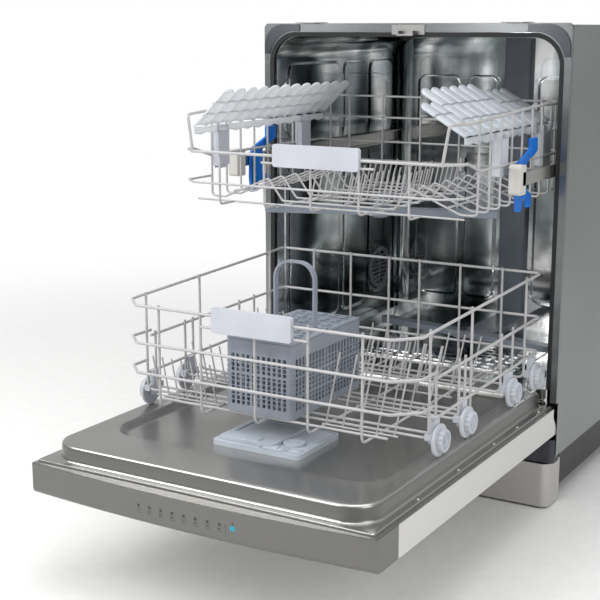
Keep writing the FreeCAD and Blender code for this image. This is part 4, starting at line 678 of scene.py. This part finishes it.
def build_key_marks():
    """Plain symbols and short lines printed under the keys, and the light's window."""
    low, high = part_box("control_panel")
    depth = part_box("door_liner")[0].y - low.y

    def print_mark(name, x, z, outline, material):
        def place(a, b, c):
            px = x + a
            return Vector((px, low.y + depth * (px / high.x) ** 2 - c, z + b))

        mark = prism(name, outline, -PRINT_SINK, PRINT_DEPTH, material, place, 0.0)
        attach(mark, "door")

    shapes = (disc(0.0019, 3), disc(0.0017, 20), disc(0.0022, 4), disc(0.0020, 6))

    def stroke(half_x, half_z):
        return [(-half_x, -half_z), (half_x, -half_z), (half_x, half_z), (-half_x, half_z)]

    bar = stroke(0.0042, 0.0003)
    stem = stroke(0.0003, 0.0022)
    for n in range(KEY_COUNT):
        x = KEY_FIRST_X + KEY_STEP * n
        print_mark("key_symbol_%d" % n, x - 0.001, SYMBOL_Z, shapes[n % len(shapes)], MATS["key"])
        print_mark("key_line_%d" % n, x + 0.001, LINE_Z, bar, MATS["key"])
        print_mark("key_stem_%d" % n, x + 0.0032, STEM_Z, stem, MATS["key"])
    print_mark("key_divider", DIVIDER_AT[0], DIVIDER_AT[1], stroke(0.0003, 0.0075), MATS["key"])
    window = [(-0.0046, -0.0024), (-0.0040, -0.0030), (0.0040, -0.0030), (0.0046, -0.0024),
              (0.0046, 0.0024), (0.0040, 0.0030), (-0.0040, 0.0030), (-0.0046, 0.0024)]
    print_mark("light_window", LIGHT_AT[0], LIGHT_AT[1], window, MATS["light"])
    print_mark("light_dot", LIGHT_AT[0], LIGHT_DOT_Z, disc(0.0016, 20), MATS["key"])


def bars(name, segments, radius, material):
    """Rods along straight segments, in one mesh."""
    verts = []
    faces = []
    for a, b in segments:
        a, b = Vector(a), Vector(b)
        axis = (b - a).normalized()
        across = axis.cross(Vector((0, 0, 1))).normalized() if abs(axis.z) < 0.9 else Vector((1, 0, 0))
        up = axis.cross(across)
        near = len(verts)
        far = near + ROD_SIDES
        for end in (a, b):
            for k in range(ROD_SIDES):
                angle = math.tau * (k + 0.5) / ROD_SIDES
                verts.append(end + across * radius * math.cos(angle) + up * radius * math.sin(angle))
        for k in range(ROD_SIDES):
            n = (k + 1) % ROD_SIDES
            faces.append((near + k, near + n, far + n, far + k))
        faces += [tuple(reversed(range(near, far))), tuple(range(far, far + ROD_SIDES))]
    return mesh_object(name, verts, faces, material, False)


def build_basket_grid():
    """Fine cross bars that turn the basket's slots into a grid."""
    low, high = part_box("cutlery_basket")
    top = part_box("basket_lid_front")[0].z
    segments = []
    sink, end = 0.0008, 0.003
    count = int((top - low.z - BASKET_BAND) / BASKET_PITCH)
    for n in range(count):
        z = low.z + BASKET_FOOT + n * BASKET_PITCH
        for y in (low.y + sink, high.y - sink):
            segments.append(((low.x + end, y, z), (high.x - end, y, z)))
        for x in (low.x + sink, high.x - sink):
            segments.append(((x, low.y + end, z), (x, high.y - end, z)))
    grid = bars("basket_grid", segments, BASKET_BAR, MATS["basket"])
    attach(grid, "basket")


def build_dispenser_detail():
    """Latch, seam frame and dark stop on the dispenser."""
    low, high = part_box("dispenser_housing")

    def place(a, b, c):
        return Vector((a, b, high.z + c))

    latch = prism("dispenser_latch", rounded_rect(*LATCH, 0.003), -LATCH_SINK, LATCH_DEPTH,
                  MATS["dispenser"], place, 0.0009)
    tab = prism("dispenser_tab", rounded_rect(*LATCH_TAB, 0.002), -TAB_SINK, TAB_DEPTH,
                MATS["dispenser"], place, 0.0008)
    edge = rounded_rect(low.x - 0.0004, low.x + 0.0060, STOP_Y[0], STOP_Y[1], 0.001)
    stop = prism("dispenser_stop", edge, -STOP_SINK, STOP_DEPTH, MATS["seal"], place, 0.0006)
    level = high.z + SEAM_LIFT
    segments = []
    for x0, x1, y0, y1 in SEAM_FRAMES:
        corners = [(x0, y0, level), (x1, y0, level), (x1, y1, level), (x0, y1, level)]
        segments += [(corners[k], corners[(k + 1) % 4]) for k in range(4)]
    seams = bars("dispenser_seams", segments, SEAM_RADIUS, MATS["seam"])
    for piece in (latch, tab, stop, seams):
        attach(piece, "door")


def build_wheels():
    """Rolling disc with a rounded rim, a ribbed drum outside it and a dished cap."""
    for n in range(1, WHEELS + 1):
        low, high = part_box("wheel_%d" % n)
        side = 1 if low.x > 0 else -1
        inner = low.x if side > 0 else high.x
        centre = Vector((inner, (low.y + high.y) / 2, (low.z + high.z) / 2))
        big = (high.z - low.z) / 2
        width = high.x - low.x
        drum = big * DRUM_SHARE
        # (x from the inner face, radius), and the rib depth on the drum
        rim = [(0.0003, WHEEL_BORE), (0.0003, big * 0.86), (0.0, big - 0.0012), (0.0006, big - 0.0003),
               (0.0025, big), (0.0044, big - 0.0003), (0.005, big - 0.0012), (0.005, drum + 0.0004)]
        ribbed = [(0.0052, drum, 0.0012), (width - 0.0008, drum - 0.0004, 0.0012),
                  (width, drum - 0.0014, 0.0008)]
        dish = [(width, drum * 0.74), (width - 0.0035, drum * 0.66), (width - 0.0035, drum * 0.36),
                (width - 0.0004, drum * 0.32), (width - 0.0004, WHEEL_BORE)]
        rows = [(x, r, 0, 0) for x, r in rim]
        rows += [(x, r, depth, DRUM_RIBS) for x, r, depth in ribbed]
        rows += [(x, r, 0, 0) for x, r in dish]
        wheel = turned("wheel_look_%d" % n, rows, centre, side, MATS["wheel"])
        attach(wheel, "roller_%d" % n)
        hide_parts("wheel_%d" % n)


def corrugated_shelf(name, node, body, side, slope, groups, clear):
    """Clear cup shelf: round corrugations with lobed free ends, a wavy apron, and dark strips across it
    that paint the shade of its rows of slots.
    """
    low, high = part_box(node)
    hinge_x = (low.x if side < 0 else high.x) - side * SHELF_BARREL
    hinge_z = low.z + SHELF_BARREL
    along = Vector((-side * math.cos(slope), 0, math.sin(slope)))
    normal = Vector((side * math.sin(slope), 0, math.cos(slope)))
    root = Vector((hinge_x, 0, hinge_z))
    parts = []
    for index, (share0, share1, reach, lobes) in enumerate(groups):
        y0 = low.y + (high.y - low.y) * share0
        y1 = low.y + (high.y - low.y) * share1

        def swell_at(u):
            phase = (u * lobes) % 1.0
            return math.sqrt(max(0.0, 1 - (2 * phase - 1) ** 2))

        def spot(r, lift, u, drop=0.0):
            return root + along * r + normal * lift + Vector((0, y0 + (y1 - y0) * u, -drop))

        def point(u, v):
            swell = swell_at(u)
            tip = reach - LOBE_CUT * (1 - swell)
            return spot(SHELF_ROOT + (tip - SHELF_ROOT) * v, SHELF_BASE + SHELF_SWELL * swell ** 0.8, u)

        def apron(u, v):
            wave = 0.5 - 0.5 * math.cos(2 * math.pi * u * lobes)
            return spot(SHELF_ROOT, SHELF_BASE, u, (APRON + APRON_WAVE * wave) * v)

        parts.append(sheet("%s_%d" % (name, index), point, lobes * 16, 10, clear, 0.0016))
        parts.append(sheet("%s_apron_%d" % (name, index), apron, lobes * 12, 3, clear, 0.0014))
        # dark strips at the rows of slots paint their shade
        for share in SLOT_SHADE_ROWS:
            at = SHELF_ROOT + (reach - SHELF_ROOT) * share

            def rib(u, v, at=at):
                lift = SHELF_BASE + SHELF_SWELL * swell_at(u) ** 0.8 + SLOT_SHADE_LIFT
                return spot(at + SLOT_SHADE_WIDTH * v, lift, u)

            label = "%s_rib_%d_%d" % (name, index, int(share * 100))
            parts.append(sheet(label, rib, lobes * 16, 1, MATS["slot_row_shade"], 0.0008))
    for part in parts:
        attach(part, body)
    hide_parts(node)


def build_shelves():
    """Long left shelf, and the right one with its cut-back ends."""
    # the left shelf takes the paler plastic, which paints light on its shaded underside
    corrugated_shelf("shelf_left_look", "cup_shelf_left", "shelf_left", -1, LEFT_SLOPE, LEFT_GROUPS,
                     MATS["shelf_left"])
    corrugated_shelf("shelf_right_look", "cup_shelf_right", "shelf_right", 1, RIGHT_SLOPE, RIGHT_GROUPS,
                     MATS["shelf"])


build_wheels()
build_shelves()
build_liner()
build_tub_lining()
build_levers()
build_shelf_legs()
build_key_marks()
build_dispenser_detail()
build_basket_grid()


# ---- stage, light, camera --------------------------------------------------
ROOM_LEVEL = 0.5         # brightness of the white room
FLOOR_HALF = 14.0
FLOOR_FADE = (0.9, 2.6)  # distances from the machine where the floor starts and ends turning white
CAMERA_PLACE = (0.995, -1.991, 0.841)
CAMERA_DOWN = math.radians(12.15)
CAMERA_TURN = math.radians(30.69)
SENSOR = 36.0
LENS = 75.738
# name, place, target, width, height, power
LAMPS = (
    ("key", (-1.8, -2.2, 2.6), (0, -0.1, 0.4), 2.0, 2.0, 55),
    ("top", (0.2, -0.2, 3.0), (0, 0, 0.4), 2.4, 2.4, 40),
    ("side", (2.6, -1.2, 1.6), (0, 0, 0.4), 1.6, 1.6, 22),
    ("strip_a", (-1.25, -1.75, 1.55), (0.1, 0.5, 0.6), 0.10, 1.5, 5),
    ("strip_b", (-0.75, -2.30, 1.35), (0.1, 0.5, 0.6), 0.12, 1.3, 5))


def floor_material():
    """Pale floor that fades to plain white away from the machine, so no horizon shows."""
    mat, nodes, links, shader = new_material("floor_paint")
    grain = noise(nodes, links, 40.0, 3.0)
    tone = ramp(nodes, links, grain.outputs["Fac"], [(0.3, srgb("#EDEDEC")), (0.7, srgb("#F2F2F1"))])
    links.new(tone.outputs["Color"], shader.inputs["Base Color"])
    shader.inputs["Roughness"].default_value = 0.7
    coord = nodes.new("ShaderNodeTexCoord")
    reach = nodes.new("ShaderNodeVectorMath")
    reach.operation = "LENGTH"
    links.new(coord.outputs["Object"], reach.inputs[0])
    fade = nodes.new("ShaderNodeMapRange")
    fade.interpolation_type = "SMOOTHSTEP"
    fade.inputs["From Min"].default_value, fade.inputs["From Max"].default_value = FLOOR_FADE
    links.new(reach.outputs["Value"], fade.inputs["Value"])
    path = nodes.new("ShaderNodeLightPath")
    both = nodes.new("ShaderNodeMath")
    both.operation = "MULTIPLY"
    links.new(fade.outputs["Result"], both.inputs[0])
    links.new(path.outputs["Is Camera Ray"], both.inputs[1])
    white = nodes.new("ShaderNodeEmission")
    white.inputs["Color"].default_value = (1, 1, 1, 1)
    mixed = nodes.new("ShaderNodeMixShader")
    links.new(both.outputs["Value"], mixed.inputs["Fac"])
    links.new(shader.outputs["BSDF"], mixed.inputs[1])
    links.new(white.outputs["Emission"], mixed.inputs[2])
    links.new(mixed.outputs["Shader"], nodes["Material Output"].inputs["Surface"])
    return mat


def stage():
    """Plain floor and a white room."""
    s = FLOOR_HALF
    corners = [(-s, -s, 0), (s, -s, 0), (s, s, 0), (-s, s, 0)]
    floor = mesh_object("floor", corners, [(0, 1, 2, 3)], floor_material())
    world = bpy.data.worlds.new("studio")
    bpy.context.scene.world = world
    world.use_nodes = True
    nodes = world.node_tree.nodes
    links = world.node_tree.links
    room = nodes["Background"]
    room.inputs["Color"].default_value = (1, 1, 1, 1)
    room.inputs["Strength"].default_value = ROOM_LEVEL
    seen = nodes.new("ShaderNodeBackground")
    seen.inputs["Color"].default_value = (1, 1, 1, 1)
    path = nodes.new("ShaderNodeLightPath")
    mixed = nodes.new("ShaderNodeMixShader")
    links.new(path.outputs["Is Camera Ray"], mixed.inputs["Fac"])
    links.new(room.outputs["Background"], mixed.inputs[1])
    links.new(seen.outputs["Background"], mixed.inputs[2])
    links.new(mixed.outputs["Shader"], nodes["World Output"].inputs["Surface"])


def area(name, place, target, width, height, power):
    """Rectangular lamp at a place, aimed at a target."""
    light = bpy.data.lights.new(name, "AREA")
    light.shape = "RECTANGLE"
    light.size = width
    light.size_y = height
    light.energy = power
    obj = bpy.data.objects.new(name, light)
    obj.location = place
    obj.rotation_euler = (Vector(target) - Vector(place)).to_track_quat("-Z", "Y").to_euler()
    bpy.context.scene.collection.objects.link(obj)


def camera():
    """Camera in front of the open door, a little to the right."""
    data = bpy.data.cameras.new("camera")
    obj = bpy.data.objects.new("camera", data)
    bpy.context.scene.collection.objects.link(obj)
    data.sensor_width = SENSOR
    data.lens = LENS
    obj.location = CAMERA_PLACE
    obj.rotation_euler = (math.pi / 2 - CAMERA_DOWN, 0, CAMERA_TURN)
    data.clip_start = 0.05
    data.clip_end = 60
    bpy.context.scene.camera = obj


stage()
for lamp in LAMPS:
    area(*lamp)
camera()
bpy.context.scene.view_settings.view_transform = "Standard"
